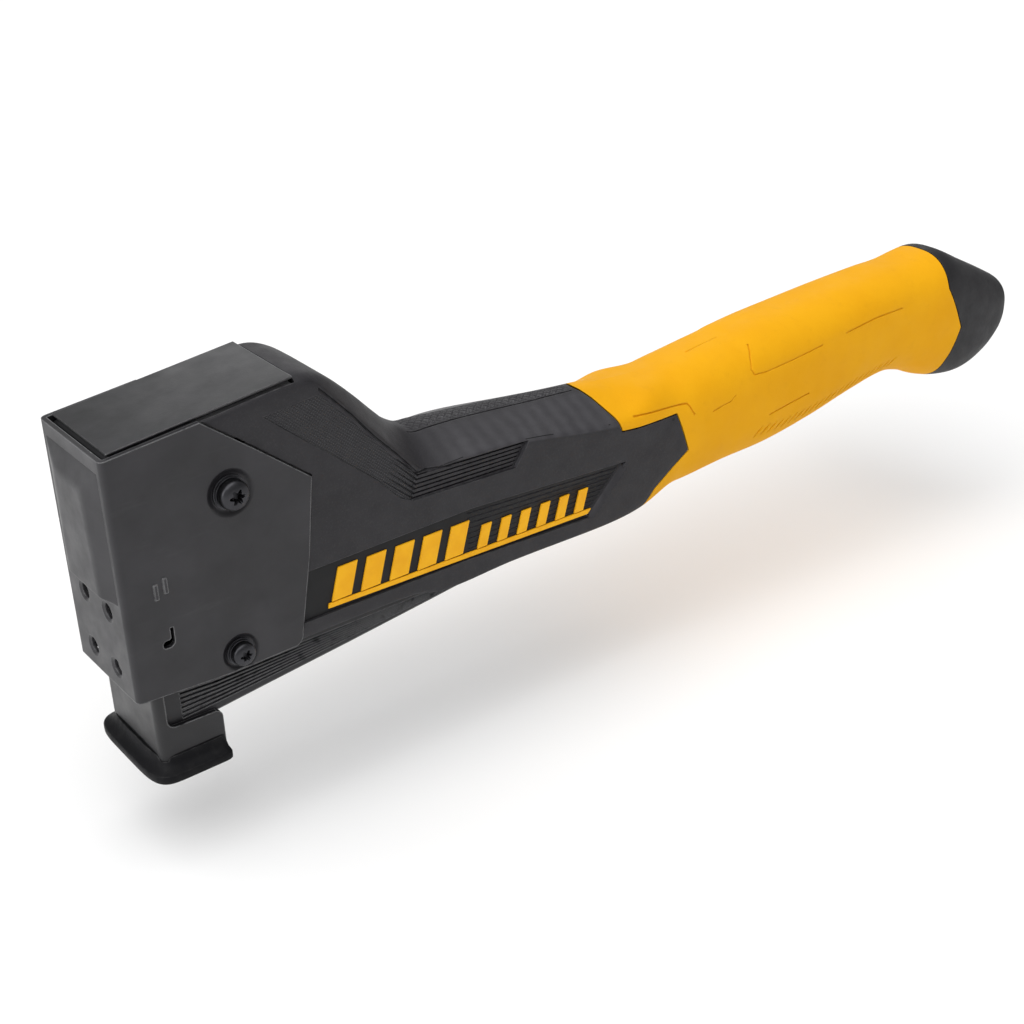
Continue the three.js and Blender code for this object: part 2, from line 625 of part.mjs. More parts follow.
add('housing', housing(), darkMoulding());
add('grip_sleeve', gripSleeve(), yellowRubber());
add('butt_cap', buttCap(), darkMoulding());
addPair('stripes', stripes(), yellowPaint);
add('head_plate', headPlate(), blackSteel());
add('strike_block', strikeBlock(), blackSteel());
add('driver_block', driverBlock(), brightSteel());
add('driver_blade', driverBlade(), springSteel());
add('blade_rivet_left', bladeRivet(3.5), brightSteel());
add('blade_rivet_right', bladeRivet(-3.5), brightSteel());
add('cross_tube', crossTube(), brightSteel());
addPair('upper_screw', upperScrew(), blackOxide);
addPair('upper_washer', upperWasher(), blackOxide);
addPair('lower_screw', lowerScrew(), blackOxide);
addPair('lower_washer', lowerWasher(), blackOxide);
add('pivot_pin', barY(PIVOT_PIN_R, PIVOT, -PIN_HALF, PIN_HALF), brightSteel());
add('stop_pin', barY(STOP_PIN_R, STOP_PIN, -PIN_HALF, PIN_HALF), brightSteel());
add('bump_pad', bumpPad(), blackRubber());
add('return_spring', returnSpring(), springSteel());

add('nose_frame', noseFrame(), blackSteel());
add('nose_bumper', noseBumper(), blackRubber());
add('magazine_skirt', magazineSkirt(), blackSteel());
add('pivot_sleeve', pivotSleeve(), brightSteel());
add('staple_channel', stapleChannel(), brightSteel());
add('channel_rivet_front', channelRivet(24), brightSteel());
add('channel_rivet_rear', channelRivet(102), brightSteel());
add('spring_cup', springCup(), brightSteel());
add('rail_hinge_pin', railHingePin(), brightSteel());

add('staple_rail', stapleRail(), brightSteel());
add('guide_rod', guideRod(), brightSteel());
add('rod_end', rodEnd(), brightSteel());
add('follower', follower(), brightSteel());
add('follower_spring', followerSpring(), springSteel());

export default group;
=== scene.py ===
"""Looks of the hammer tacker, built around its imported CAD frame.

Lengths are in millimetres until a mesh is made. As in the part's source, x runs back from the front
face of the head plate, y across and z up from the sole; piece() puts a mesh into the frame, in metres.
"""

import math

import bmesh
import bpy
import numpy as np
from mathutils import Matrix, Vector

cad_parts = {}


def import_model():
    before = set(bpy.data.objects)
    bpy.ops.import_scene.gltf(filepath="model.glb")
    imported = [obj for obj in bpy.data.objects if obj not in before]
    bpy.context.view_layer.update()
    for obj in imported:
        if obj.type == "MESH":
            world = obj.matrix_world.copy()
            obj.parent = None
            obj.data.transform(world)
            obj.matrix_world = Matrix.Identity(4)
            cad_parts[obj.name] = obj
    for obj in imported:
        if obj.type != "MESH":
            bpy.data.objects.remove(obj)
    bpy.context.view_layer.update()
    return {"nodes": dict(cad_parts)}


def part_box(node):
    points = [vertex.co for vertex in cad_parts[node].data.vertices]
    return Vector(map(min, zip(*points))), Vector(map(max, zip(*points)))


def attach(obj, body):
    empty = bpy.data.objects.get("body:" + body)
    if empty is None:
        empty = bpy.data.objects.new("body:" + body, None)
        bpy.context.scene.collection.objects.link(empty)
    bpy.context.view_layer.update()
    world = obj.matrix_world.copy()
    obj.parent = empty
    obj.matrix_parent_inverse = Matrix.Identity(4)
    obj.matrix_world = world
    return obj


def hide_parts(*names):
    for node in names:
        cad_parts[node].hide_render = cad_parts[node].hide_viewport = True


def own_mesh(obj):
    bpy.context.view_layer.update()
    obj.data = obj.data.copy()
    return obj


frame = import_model()
nodes = frame["nodes"]

MM = 0.001
PANEL_RISE = 2.2  # how far the head plate's pressed panel stands forward of its front face
PLATE_FRONT = -0.7
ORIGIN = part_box("head_plate")[0].x / MM + PANEL_RISE - PLATE_FRONT  # x zero, in the frame's own x


# ---- driving dimensions ----
GAP = 0.3
PLATE_HALF = 17.0
PLATE_SHEET = 1.4
PLATE_IN = PLATE_HALF - PLATE_SHEET
BODY_HALF = 16.3
POCKET_HALF = PLATE_IN - GAP
CAVITY_HALF = 13.9
PANEL_FLOOR = BODY_HALF - 0.75
BLOCK_HALF = 15.0
SKIRT_HALF = 13.5
SKIRT_SHEET = 1.6
SKIRT_TOP = 30.0
NOSE_HALF = 15.2
NOSE_SHEET = 1.4
NOSE_FRONT, NOSE_REAR = 4.2, 22.8
UPPER_SCREW = (32.0, 76.5)
LOWER_SCREW = (29.5, 30.2)
DISH_FLOOR = PLATE_HALF - 0.9
HEAD_SEAT = DISH_FLOOR + 2 * GAP + 0.8
PIVOT = (148.0, 26.0)
STOP_PIN = (156.0, 32.1)
PIN_HALF = 15.0
RAIL_START = (9.8, 15.6)
RAIL_SLOPE = math.radians(5)
SPRING_X = 72.0
SPRING_FLOOR = 32.7  # the return spring's lower end, on its cup
STOP_RADIUS = 1.8
PIVOT_RADIUS = 2.0
UPPER_BORE, LOWER_BORE = 2.6, 2.0
WIDE = 30.0  # further out than anything on the tool
CORE_DEPTH = 5.0  # how far the housing's core lies below the skin of grip and butt
SLOPE_SINK = 0.18

# The skin of body, grip and butt, as heights and half widths along the tool.
TOP = [(24, 98), (40, 99.6), (54, 100.9), (58, 100.6), (62, 98.8), (66, 95.8), (70, 92.2),
       (76, 86.2), (82, 79.8), (88, 73.8), (94, 69.9), (100, 69.2), (128, 66.2), (160, 62.5),
       (190, 60.9), (210, 62.8), (230, 64.9), (250, 65.9), (270, 66.8), (290, 67.3), (302, 67.5),
       (310, 68.3), (316, 68.6), (320, 67.4), (330, 62.1), (340, 56.9), (346, 53.6), (348.4, 52.1),
       (350, 49.6)]
SHOULDER = [(24, 97.2), (54, 98.9), (59, 97.8), (64, 92.5), (90, 62.6), (94, 61.6), (112, 61.8),
            (128, 60), (158, 54.8), (200, 54)]
BOTTOM = [(24, 25.3), (84, 25), (96, 22.4), (120, 22.7), (150, 21.8), (190, 21), (210, 21.7),
          (230, 22), (250, 24.6), (270, 28.3), (288, 30.3), (300, 27.6), (310, 23.3), (320, 20.3),
          (330, 19.6), (340, 23), (346, 28), (348, 31), (350, 33.5)]
HALF = [(24, BODY_HALF), (170, BODY_HALF), (190, 16), (250, 16), (288, 15.2), (310, 16), (330, 16),
        (340, 15), (346, 14), (348.4, 13), (350, 11)]
FLAT = [(24, 14.4), (58, 14), (94, 3.8), (200, 3.8)]
SHARP, SOFT = 40, 2.7  # corner power of the body's section and of the grip's
BODY_END, BUTT_START, TAIL = 155.0, 313.4, 350.0

GRIP_SEAM = [(BODY_END, 90), (BODY_END, 63), (156.5, 62.2), (158.1, 60.3), (159.4, 58),
             (160.8, 55.5), (162, 51.4), (169, 50.5), (185.1, 49.7), (189.6, 36.5), (175.5, 27.7),
             (171.6, 23), (171.8, 5)]
BUTT_SEAM = [(BUTT_START, 90), (BUTT_START, 58), (320.6, 42.2), (316, 30), (311, 5)]
BODY_SIDE = [(0, 5), (0, 110), (BODY_END, 110), *GRIP_SEAM]
BUTT_SIDE = [*BUTT_SEAM, (380, 5), (380, 110), (BUTT_START, 110)]
PLATE_SIDE = [(PLATE_FRONT, 26.8), (PLATE_FRONT, 95.3), (26, 97.6), (39.9, 86.2), (55.3, 73.1),
              (52.4, 50.4), (48.2, 27.6), (47.2, 25.3), (44.5, 24.1), (27, 25)]
PANEL_SIDE = [(46, 45.6), (106.5, 45.5), (163.8, 41.2), (149.3, 26.9), (105.8, 29.5), (46, 30.6)]


# ---- meshes ----
def added(name, data):
    """A new object in the scene."""
    obj = bpy.data.objects.new(name, data)
    bpy.context.scene.collection.objects.link(obj)
    return obj


def piece(name, parts, crease=30.0):
    """A mesh object from one (points, faces) part or several, facing outwards."""
    parts = parts if isinstance(parts, list) else [parts]
    points, faces = [], []
    for part_points, part_faces in parts:
        base = len(points)
        points.extend(part_points)
        faces.extend([tuple(base + i for i in face) for face in part_faces])
    mesh = bpy.data.meshes.new(name)
    place = (np.asarray(points, float) + (ORIGIN, 0, 0)) * MM
    mesh.from_pydata(place.tolist(), [], faces)
    made = bmesh.new()
    made.from_mesh(mesh)
    bmesh.ops.remove_doubles(made, verts=made.verts, dist=1e-7)
    bmesh.ops.recalc_face_normals(made, faces=made.faces)
    made.to_mesh(mesh)
    made.free()
    obj = added(name, mesh)
    shade(obj, crease)
    return obj


def shade(obj, angle):
    """Smooth shading with edges sharper than the angle kept crisp."""
    obj.data.shade_smooth()
    obj.data.set_sharp_from_angle(angle=math.radians(angle))


def apply_modifiers(obj):
    graph = bpy.context.evaluated_depsgraph_get()
    done = bpy.data.meshes.new_from_object(obj.evaluated_get(graph))
    done.materials.clear()
    obj.modifiers.clear()
    obj.data = done


def bevel(obj, width, segments, angle):
    """A modifier that rounds edges sharper than the angle by a width in millimetres."""
    step = obj.modifiers.new("soften", "BEVEL")
    step.width = width * MM
    step.segments = segments
    step.limit_method = "ANGLE"
    step.angle_limit = math.radians(angle)
    return step


def carve(obj, *cutters, operation="DIFFERENCE"):
    """Cuts the cutters out of the piece, or joins or intersects them. A cutter is a part, several
    parts or a piece, and doesn't stay."""
    pieces = [c if isinstance(c, bpy.types.Object) else piece("cutter", c) for c in cutters]
    for cutter in pieces:
        step = obj.modifiers.new("carve", "BOOLEAN")
        step.object = cutter
        step.operation = operation
        step.solver = "MANIFOLD"
    apply_modifiers(obj)
    for cutter in pieces:
        bpy.data.objects.remove(cutter)
    return obj


def soften(obj, width, segments, angle, crease=30.0):
    """Rounds the piece's sharp edges for good, with normals that keep its flats flat."""
    bevel(obj, width, segments, angle).miter_outer = "MITER_ARC"
    apply_modifiers(obj)
    shade(obj, crease)
    flat = obj.modifiers.new("flat", "WEIGHTED_NORMAL")
    flat.keep_sharp = True
    apply_modifiers(obj)
    return obj


def mirrored(part):
    """The part on the other side of the tool."""
    points, faces = part
    return [(x, -y, z) for x, y, z in points], faces


def both(parts):
    parts = parts if isinstance(parts, list) else [parts]
    return parts + [mirrored(part) for part in parts]


def tube(rings):
    """Joins rings of points into a closed skin with flat ends."""
    count, points = len(rings[0]), [tuple(point) for ring in rings for point in ring]
    faces = [tuple(range(count)), tuple(range(len(points) - 1, len(points) - count - 1, -1))]
    for row in range(len(rings) - 1):
        base = row * count
        for i in range(count):
            j = (i + 1) % count
            faces.append((base + i, base + j, base + count + j, base + count + i))
    return points, faces


def across(outline, y0, y1):
    """A side outline (x, z) carried across from y0 to y1."""
    return tube([[(x, y, z) for x, z in outline] for y in (y0, y1)])


def upright(outline, z0, z1):
    """A plan outline (x, y) carried up from z0 to z1."""
    return tube([[(x, y, z) for x, y in outline] for z in (z0, z1)])


def block(x0, x1, y0, y1, z0, z1):
    return upright([(x0, y0), (x1, y0), (x1, y1), (x0, y1)], z0, z1)


def around(count):
    """Equal steps of a full turn."""
    return np.linspace(0, 2 * math.pi, count, endpoint=False)


def turned(profile, centre, sides=48):
    """A turned piece about a line along y: profile points are (radius, y), and may close on itself."""
    cx, cz = centre
    rows = profile[:-1] if profile[0] == profile[-1] else profile
    points = [(cx + r * math.cos(a), y, cz + r * math.sin(a)) for r, y in rows for a in around(sides)]
    faces = []
    for row in range(len(profile) - 1):
        here, there = row * sides, (row + 1) % len(rows) * sides
        for i in range(sides):
            j = (i + 1) % sides
            ring = (here + i, here + j, there + j, there + i)
            if rows[row][0] == 0:
                ring = (here, there + j, there + i)
            elif rows[(row + 1) % len(rows)][0] == 0:
                ring = (here + i, here + j, there)
            faces.append(ring)
    used = sorted({i for face in faces for i in face})
    back = {old: new for new, old in enumerate(used)}
    return [points[i] for i in used], [tuple(back[i] for i in face) for face in faces]


def bar(radius, centre, y0, y1, sides=48):
    return turned([(0, y0), (radius, y0), (radius, y1), (0, y1)], centre, sides)


def through(radius, centre):
    """A cutter for a bore right through the tool."""
    return bar(radius, centre, -WIDE, WIDE)


def arc(centre, radius, start, end, steps):
    """Points on an arc in a plane, by angles in degrees."""
    angles = np.radians(np.linspace(start, end, steps + 1))
    return [(centre[0] + radius * math.cos(a), centre[1] + radius * math.sin(a)) for a in angles]


def grown(outline, distance):
    """An outline moved outwards by a distance, corners kept sharp."""
    p = np.asarray(outline, float)
    before, after = np.roll(p, 1, axis=0), np.roll(p, -1, axis=0)
    turn = np.sign(np.sum(p[:, 0] * after[:, 1] - after[:, 0] * p[:, 1]))
    into, out = p - before, after - p
    into /= np.linalg.norm(into, axis=1)[:, None]
    out /= np.linalg.norm(out, axis=1)[:, None]
    na = np.c_[into[:, 1], -into[:, 0]] * turn
    nb = np.c_[out[:, 1], -out[:, 0]] * turn
    scale = distance / (1 + np.sum(na * nb, axis=1))
    return [tuple(q) for q in p + (na + nb) * scale[:, None]]


def groove(path, normals, widths, depths, lift=1.5, floor=0.45):
    """A cutter that runs along a path on a surface: a bar whose floor is a share of its width."""
    p, n = np.asarray(path, float), np.asarray(normals, float)
    n /= np.linalg.norm(n, axis=1)[:, None]
    step = np.diff(p, axis=0)
    step /= np.linalg.norm(step, axis=1)[:, None]
    along = np.vstack([step[:1], step[:-1] + step[1:], step[-1:]])
    along /= np.linalg.norm(along, axis=1)[:, None]
    mitre = np.ones(len(p))
    mitre[1:-1] = 1 / np.clip(np.sum(along[1:-1] * step[1:], axis=1), 0.4, 1)
    side = np.cross(along, n)
    side /= np.linalg.norm(side, axis=1)[:, None]
    half = (np.broadcast_to(widths, len(p)) / 2 * mitre)[:, None]
    deep = np.broadcast_to(depths, len(p))[:, None]
    wide = half * (1 + lift / deep * (1 - floor))
    rings = zip(p + side * wide + n * lift, p - side * wide + n * lift,
                p - side * half * floor - n * deep, p + side * half * floor - n * deep)
    return tube(list(rings))


# ---- the skin of body, grip and butt ----
def smooth(table, x):
    """Reads a table of (x, value) rows as a smooth curve through them."""
    xs, vs = np.array(table, float).T
    x = np.clip(np.asarray(x, float), xs[0], xs[-1])
    i = np.clip(np.searchsorted(xs, x, side="left") - 1, 0, len(xs) - 2)
    slope = np.zeros(len(xs))
    slope[1:-1] = (vs[2:] - vs[:-2]) / (xs[2:] - xs[:-2])
    span = xs[i + 1] - xs[i]
    t = (x - xs[i]) / span
    rise = 3 * t ** 2 - 2 * t ** 3
    return (vs[i] * (1 - rise) + slope[i] * span * (t ** 3 - 2 * t ** 2 + t)
            + vs[i + 1] * rise + slope[i + 1] * span * (t ** 3 - t ** 2))


def eased(x, start, end):
    t = np.clip((x - start) / (end - start), 0, 1)
    return t * t * (3 - 2 * t)


def edge_of(x, angle, shrink=0.0):
    """Points (y, z) of the skin's section at x, by angle up from straight down: a polygon whose corners
    are rounded more as the power falls, down to the soft oval of the grip."""
    side, up = np.sin(angle), -np.cos(angle)
    top, bottom = smooth(TOP, x) - shrink, smooth(BOTTOM, x) + shrink
    half = smooth(HALF, x) - shrink
    middle = (top + bottom) / 2
    soft = eased(x, 150, 190)
    power = SHARP * (SOFT / SHARP) ** soft
    shoulder = smooth(SHOULDER, x) - shrink
    flat = max(smooth(FLAT, x) - shrink / 2, 1)
    rise, run = top - shoulder, half - flat
    length = math.hypot(rise, run)
    bevel = (half * rise + (shoulder - middle) * run) / length
    bevel_part = (np.abs(side) * rise + up * run) / length / bevel * (1 - eased(x, 165, 205))
    parts = [np.abs(side) / half, up / (top - middle), -up / (middle - bottom), bevel_part]
    total = sum(np.clip(part, 0, None) ** power for part in parts)
    radius = total ** (-1 / power)
    return side * radius, middle + up * radius


BEND_WEIGHT = 8.0  # how many millimetres of flat a corner of one radian counts for
CROWN_WEIGHT = 3.0  # how much closer the points lie on the top band
CROWN_HALF = 5.5
CORNER_SHARES = [0, 0.2, 0.5, 0.7, 1]  # where the corners fall among the points of half a section


def section(x, count, shrink=0.0):
    """Half a section, from the bottom middle to the top middle, with more points where it bends. Each
    stretch between corners keeps its share of the points, so that the corners run true along the tool."""
    angle = np.linspace(0, math.pi, 1801)
    y, z = edge_of(x, angle, shrink)
    step = np.hypot(np.diff(y), np.diff(z))
    turn = np.abs(np.diff(np.unwrap(np.arctan2(np.diff(z), np.diff(y)))))
    weight = step * np.where((y[1:] < CROWN_HALF) & (angle[1:] > 2), CROWN_WEIGHT, 1)
    weight[1:] += BEND_WEIGHT * turn
    travel = np.concatenate([[0], np.cumsum(weight)])
    top, bottom, half = smooth(TOP, x), smooth(BOTTOM, x), smooth(HALF, x)
    middle = (top + bottom) / 2
    corners = [0, math.atan2(half, middle - bottom), math.atan2(half, middle - smooth(SHOULDER, x)),
               math.atan2(smooth(FLAT, x), middle - top), math.pi]
    marks = np.interp(corners, angle, travel)
    stops = np.round(np.array(CORNER_SHARES) * (count - 1))
    place = np.interp(np.arange(count), stops, marks)
    return edge_of(x, np.interp(place, travel, angle), shrink)


def skin(stations, count=90, shrink=0.0, relief=None):
    """Lofts the skin; relief(x, y, z) is a height to add along its normal."""
    rings = []
    for x in stations:
        y, z = section(x, count, shrink)
        if relief is not None:
            dy, dz = np.gradient(y), np.gradient(z)
            size = np.hypot(dy, dz)
            lift = relief(x, y, z)
            y = y + lift * dz / size
            z = z - lift * dy / size
        y[0] = y[-1] = 0
        ring = [(x, b, c) for b, c in zip(y, z)]
        ring += [(x, -b, c) for b, c in zip(y[-2:0:-1], z[-2:0:-1])]
        rings.append(ring)
    return tube(rings)


FINE = 400  # points of half a section where the skin is measured


def side_at(x, z):
    """How far out the skin is at a height on its side."""
    y, height = section(x, FINE)
    return float(np.interp(z, height, y))


def top_at(x, y):
    """A near-side point on the skin's upper face, a distance y off the middle."""
    side, height = section(x, FINE)
    upper = height > (height[0] + height[-1]) / 2
    return x, -y, float(np.interp(-y, -side[upper], height[upper]))


def on_side(points):
    """Near-side points on the skin and their normals, from (x, z) pairs."""
    reach = 0.5
    path, normals = [], []
    for x, z in points:
        y = side_at(x, z)
        slope_x = (side_at(x + reach, z) - side_at(x - reach, z)) / (2 * reach)
        slope_z = (side_at(x, z + reach) - side_at(x, z - reach)) / (2 * reach)
        path.append((x, -y, z))
        normals.append((-slope_x, -1, -slope_z))
    return path, normals


def traced(points, gap=2.0):
    """A polyline with points added so that none is further from the next than the gap."""
    done = [points[0]]
    for a, b in zip(points, points[1:]):
        steps = max(1, math.ceil(math.dist(a, b) / gap))
        done += [tuple(np.add(a, np.subtract(b, a) * i / steps)) for i in range(1, steps + 1)]
    return done


def flat_groove(points, width, depth, y=BODY_HALF):
    """A groove in an upright wall, from (x, z) points."""
    path = [(x, -y, z) for x, z in points]
    return groove(path, [(0, -1, 0)] * len(path), width, depth)


def between(a, b, t):
    return tuple(np.add(a, np.multiply(np.subtract(b, a), t)))


def core(shrink):
    return skin(np.linspace(150, 334, 47), 40, shrink)


# ---- body ----
WEAVE_PITCH = 1.8
WEAVE_DEPTH = 0.32
BAND_EDGE = [(91, 4.9), (111, 3.6), (136, 3.1), (153, 2.4)]  # half width of the woven top band
BAND_FROM, BAND_TO = 93.0, 154.0


def weave(a, b):
    """Height from 0 to 1 of a plain weave with one strand per unit."""
    over = (np.floor(a) + np.floor(b)) % 2
    return np.where(over > 0, np.abs(np.sin(math.pi * a)), np.abs(np.sin(math.pi * b))) ** 0.7


def neck_relief(x, y, z):
    """Sinks the strands of the weave on the neck's top band below the skin."""
    half = smooth(BAND_EDGE, x) - 0.4
    inside = eased(half - np.abs(y), 0, 0.3) * (z > 50)
    inside = inside * eased(x, BAND_FROM, BAND_FROM + 2) * eased(-x, -BAND_TO, -BAND_TO + 1)
    a = (x + y) / math.sqrt(2) / WEAVE_PITCH
    b = (x - y) / math.sqrt(2) / WEAVE_PITCH
    return -WEAVE_DEPTH * inside * (1 - weave(a, b))


VENT = [(88.6, 62.6), (127, 60), (122, 53), (86.2, 54.9)]
VENT_LINES = 6
VENT_SINK, VENT_FALL = 0.3, 0.021
SLOPE_LINE = [(60.0, 96.2), (69.2, 86.0), (75.8, 77.4), (83.0, 69.4), (88.0, 63.0), (100, 61.0),
              (113, 60.8), (126.5, 59.8)]
SLOPE_BAND = [(60.4, 94.6), (87.4, 62.4), (85.8, 55.2), (82, 57.2), (74.8, 65.5), (64.2, 74.8),
              (50.8, 86.8), (43.4, 93.4)]


def vent_recess():
    """The vent's floor, which falls away towards the rear."""
    floor = [(x, BODY_HALF - VENT_SINK - VENT_FALL * (x - VENT[-1][0]), z) for x, z in VENT]
    return tube([floor, [(x, WIDE, z) for x, z in VENT]])


def vent_grooves():
    """Grooves along the vent that turn up the slope and run out."""
    lines = []
    for i in range(VENT_LINES):
        t = (i + 0.5) / VENT_LINES
        right, corner = between(VENT[1], VENT[2], t), between(VENT[0], VENT[3], t)
        top = between(SLOPE_BAND[0], SLOPE_BAND[-1], t)
        run_out = between(corner, top, 0.22)
        points = [between(right, corner, 0.02), between(right, corner, 0.5), corner, run_out]
        lines.append(flat_groove(points, [0.75, 0.75, 0.7, 0.3], [1.7, 1.4, 0.9, 0.3]))
    return lines


PINSTRIPES = 9


def pinstripes():
    """Fine lines along the rear half of the side panel."""
    lines = []
    for i in range(PINSTRIPES):
        t = (i + 0.7) / (PINSTRIPES + 0.4)
        left, right = between((104.5, 45.2), (104.5, 29.7), t), between((161.6, 40.9), (149.6, 28.2), t)
        lines.append(flat_groove([left, right], 0.5, 0.35, PANEL_FLOOR))
    return lines


def neck_lines():
    """The two thin lines that edge the woven top band."""
    path = [top_at(x, float(smooth(BAND_EDGE, x))) for x in np.linspace(BAND_FROM, BAND_TO, 40)]
    return groove(path, [(0.1, -0.25, 1)] * len(path), 0.5, 0.4)


def cavity():
    """The hollow that the magazine and the driver move in, and the well for the strike block."""
    room = [(10, 5), (10, 110), (54, 110), (54, 88.8), (43.5, 88.1), (43.5, 52.5), (90, 52.5),
            (112, 48), (160, 40), (160, 5)]
    well = [(10, 85.7), (10, 110), (53.9, 110), (53.9, 88.9), (43.5, 88.2)]
    return (across(room, -CAVITY_HALF, CAVITY_HALF),
            across(well, -BLOCK_HALF - GAP, BLOCK_HALF + GAP))


def housing():
    stations = np.concatenate([np.linspace(24, 52, 5), np.linspace(54, 92, 60),
                               np.linspace(92.4, 158, 180), np.linspace(159, 196, 38)])
    body = piece("housing_moulded", skin(stations, 116, relief=neck_relief))
    carve(body, across(BODY_SIDE, -WIDE, WIDE), operation="INTERSECT")
    carve(body, core(CORE_DEPTH), operation="UNION")
    pocket = across(grown(PLATE_SIDE, GAP + 0.15), POCKET_HALF, WIDE)
    panel = across(PANEL_SIDE, PANEL_FLOOR, WIDE)
    slope = across(SLOPE_BAND, BODY_HALF - SLOPE_SINK, WIDE)
    carve(body, *cavity(), both(pocket), both(panel), both(vent_recess()), both(slope))
    panel_end = flat_groove([(162.3, 40.4), (148.8, 27.5)], 1.7, 0.35, PANEL_FLOOR)
    carve(body, both(vent_grooves()), both(pinstripes()), both(skin_groove(SLOPE_LINE, 0.85, 0.6)),
          both(neck_lines()), both(panel_end))
    stop_end = PIN_HALF + 0.05
    carve(body, through(UPPER_BORE, UPPER_SCREW), through(LOWER_BORE - 0.1, LOWER_SCREW),
          bar(PIVOT_RADIUS + GAP, PIVOT, -PIN_HALF - GAP, PIN_HALF + GAP),
          bar(STOP_RADIUS + GAP, STOP_PIN, -stop_end, stop_end))
    shade(body, 50)
    assign_regions(body)
    return body


def inside_outline(x, z, outline):
    """Which of many points lie inside a side outline."""
    inside = np.zeros(len(x), bool)
    for (x0, z0), (x1, z1) in zip(outline, outline[1:] + outline[:1]):
        crosses = (z0 > z) != (z1 > z)
        at = x0 + (z - z0) * (x1 - x0) / (z1 - z0 if z1 != z0 else 1)
        inside ^= crosses & (x < at)
    return inside


def assign_regions(body):
    """Marks the faces of the woven slope and the floor of the side panel."""
    count = len(body.data.polygons)
    centre = np.zeros(count * 3)
    body.data.polygons.foreach_get("center", centre)
    x, y, z = (centre.reshape(-1, 3) / MM - (ORIGIN, 0, 0)).T
    index = np.zeros(count, np.int32)
    near = 0.02
    index[inside_outline(x, z, SLOPE_BAND) & (np.abs(np.abs(y) - BODY_HALF + SLOPE_SINK) < near)] = 1
    index[np.abs(np.abs(y) - PANEL_FLOOR) < near] = 2
    body.data.polygons.foreach_set("material_index", index)


STRIPE_BASE = [(57.5, 33.2), (57.2, 31.8), (148.7, 28.4), (150.0, 29.8)]
STRIPE_FALL = 0.0371  # the base line's slope
STRIPE_LEAN = 0.27
STRIPE_ROWS = [(58.5, 9.4, 5, 6.2, 10.4), (107.5, 7.2, 6, 3.4, 7.6)]  # start, pitch, count, width, height


def stripes():
    """Slanted blocks standing on one thin line, in place of printed words."""
    floor, face = PANEL_FLOOR - 0.02, PANEL_FLOOR + 0.42
    made = [STRIPE_BASE]
    for start, pitch, count, width, height in STRIPE_ROWS:
        for x in [start + pitch * i for i in range(count)]:
            base = 32.8 - (x - STRIPE_BASE[0][0]) * STRIPE_FALL
            low, high, lean = base + 0.7, base + height, height * STRIPE_LEAN
            made.append([(x, low), (x + width, low), (x + width + lean, high), (x + lean, high)])
    return [across(outline, -face, -floor) for outline in made]


# ---- grip and butt ----
TONGUE_LINE = [(167.5, 54.5), (179, 53.2), (189.9, 51.8), (190.8, 50.8), (192.5, 47.5)]
PALM_LINE = [(220.2, 61.6), (218.7, 58.6), (217.8, 54.9), (218.9, 53.1), (223.8, 52.7),
             (237.3, 53.5), (249.8, 54.7)]
PALM_TAIL = [(261.1, 55.7), (276.2, 56.9), (289.6, 56.8)]
FINGER_LINE = [(225.8, 37.2), (234.9, 38.4), (244.2, 39.4)]
THUMB_LINE = [(200.2, 46.3), (204.5, 47), (208.1, 47.4), (210.3, 48.9)]
TICK_LOW = [(220.3, 30.2), (231.5, 29.6), (244.6, 30.5), (257.1, 32.2), (271.1, 34.2), (286, 35.4)]
TICKS = 21
CROWN_LINE_ENDS, CROWN_LINE_OFF = (201, 214.5), 1.6
SWELL = 0.2  # how far the palm panel stands above the grip round it
BUTT_SLOT = (330, 334.4, -9, 9, 32, 50)
SEAM_GAP = 0.45  # open joint between the grip and its neighbours


def skin_groove(points, width, depth):
    path, normals = on_side(traced(points))
    return groove(path, normals, width, depth)


def ticks():
    """Short slanted lines along the lower side of the grip."""
    lines = []
    for x in np.linspace(TICK_LOW[0][0], TICK_LOW[-1][0], TICKS):
        z = float(smooth(TICK_LOW, x))
        path, normals = on_side([(x, z), (x + 1.7, z + 1.9), (x + 3.4, z + 3.6)])
        lines.append(groove(path, normals, [0.8, 1.2, 0.6], [SWELL + 0.4, SWELL + 0.8, SWELL + 0.2]))
    return lines


def crown_line():
    """A shallow line across the crown of the grip, ahead of the palm."""
    path = [top_at(x, CROWN_LINE_OFF) for x in np.linspace(*CROWN_LINE_ENDS, 12)]
    return groove(path, [(0, 0, 1)] * len(path), 0.5, SWELL + 0.25)


def palm_swell(x, y, z):
    """The palm panel stands on the grip as a shallow swell; everything around it sinks a little."""
    level = np.interp(x, [217.5, 218.4, 291, 296], [57, 53.4, 56.9, 60])
    inside = eased(z - level, -0.5, 0.7) * eased(x, 216.8, 219.8) * eased(-x, -299, -289)
    return -SWELL * (1 - inside) * eased(x, 190, 214) * eased(-x, -312, -296)


def grip():
    sleeve = piece("grip_rubber", skin(np.arange(152.0, 324.0, 0.8), 100, relief=palm_swell))
    carve(sleeve, across(grown(BODY_SIDE, SEAM_GAP), -WIDE, WIDE),
          across(grown(BUTT_SIDE, SEAM_GAP), -WIDE, WIDE), core(CORE_DEPTH - GAP))
    lines = [skin_groove(TONGUE_LINE, 0.6, 0.5), skin_groove(PALM_LINE, 0.6, 0.5),
             skin_groove(PALM_TAIL, 0.6, 0.45), skin_groove(FINGER_LINE, 0.7, SWELL + 0.45),
             skin_groove(THUMB_LINE, 0.5, SWELL + 0.25)]
    carve(sleeve, both(lines), both(ticks()), crown_line())
    shade(sleeve, 32)
    return sleeve


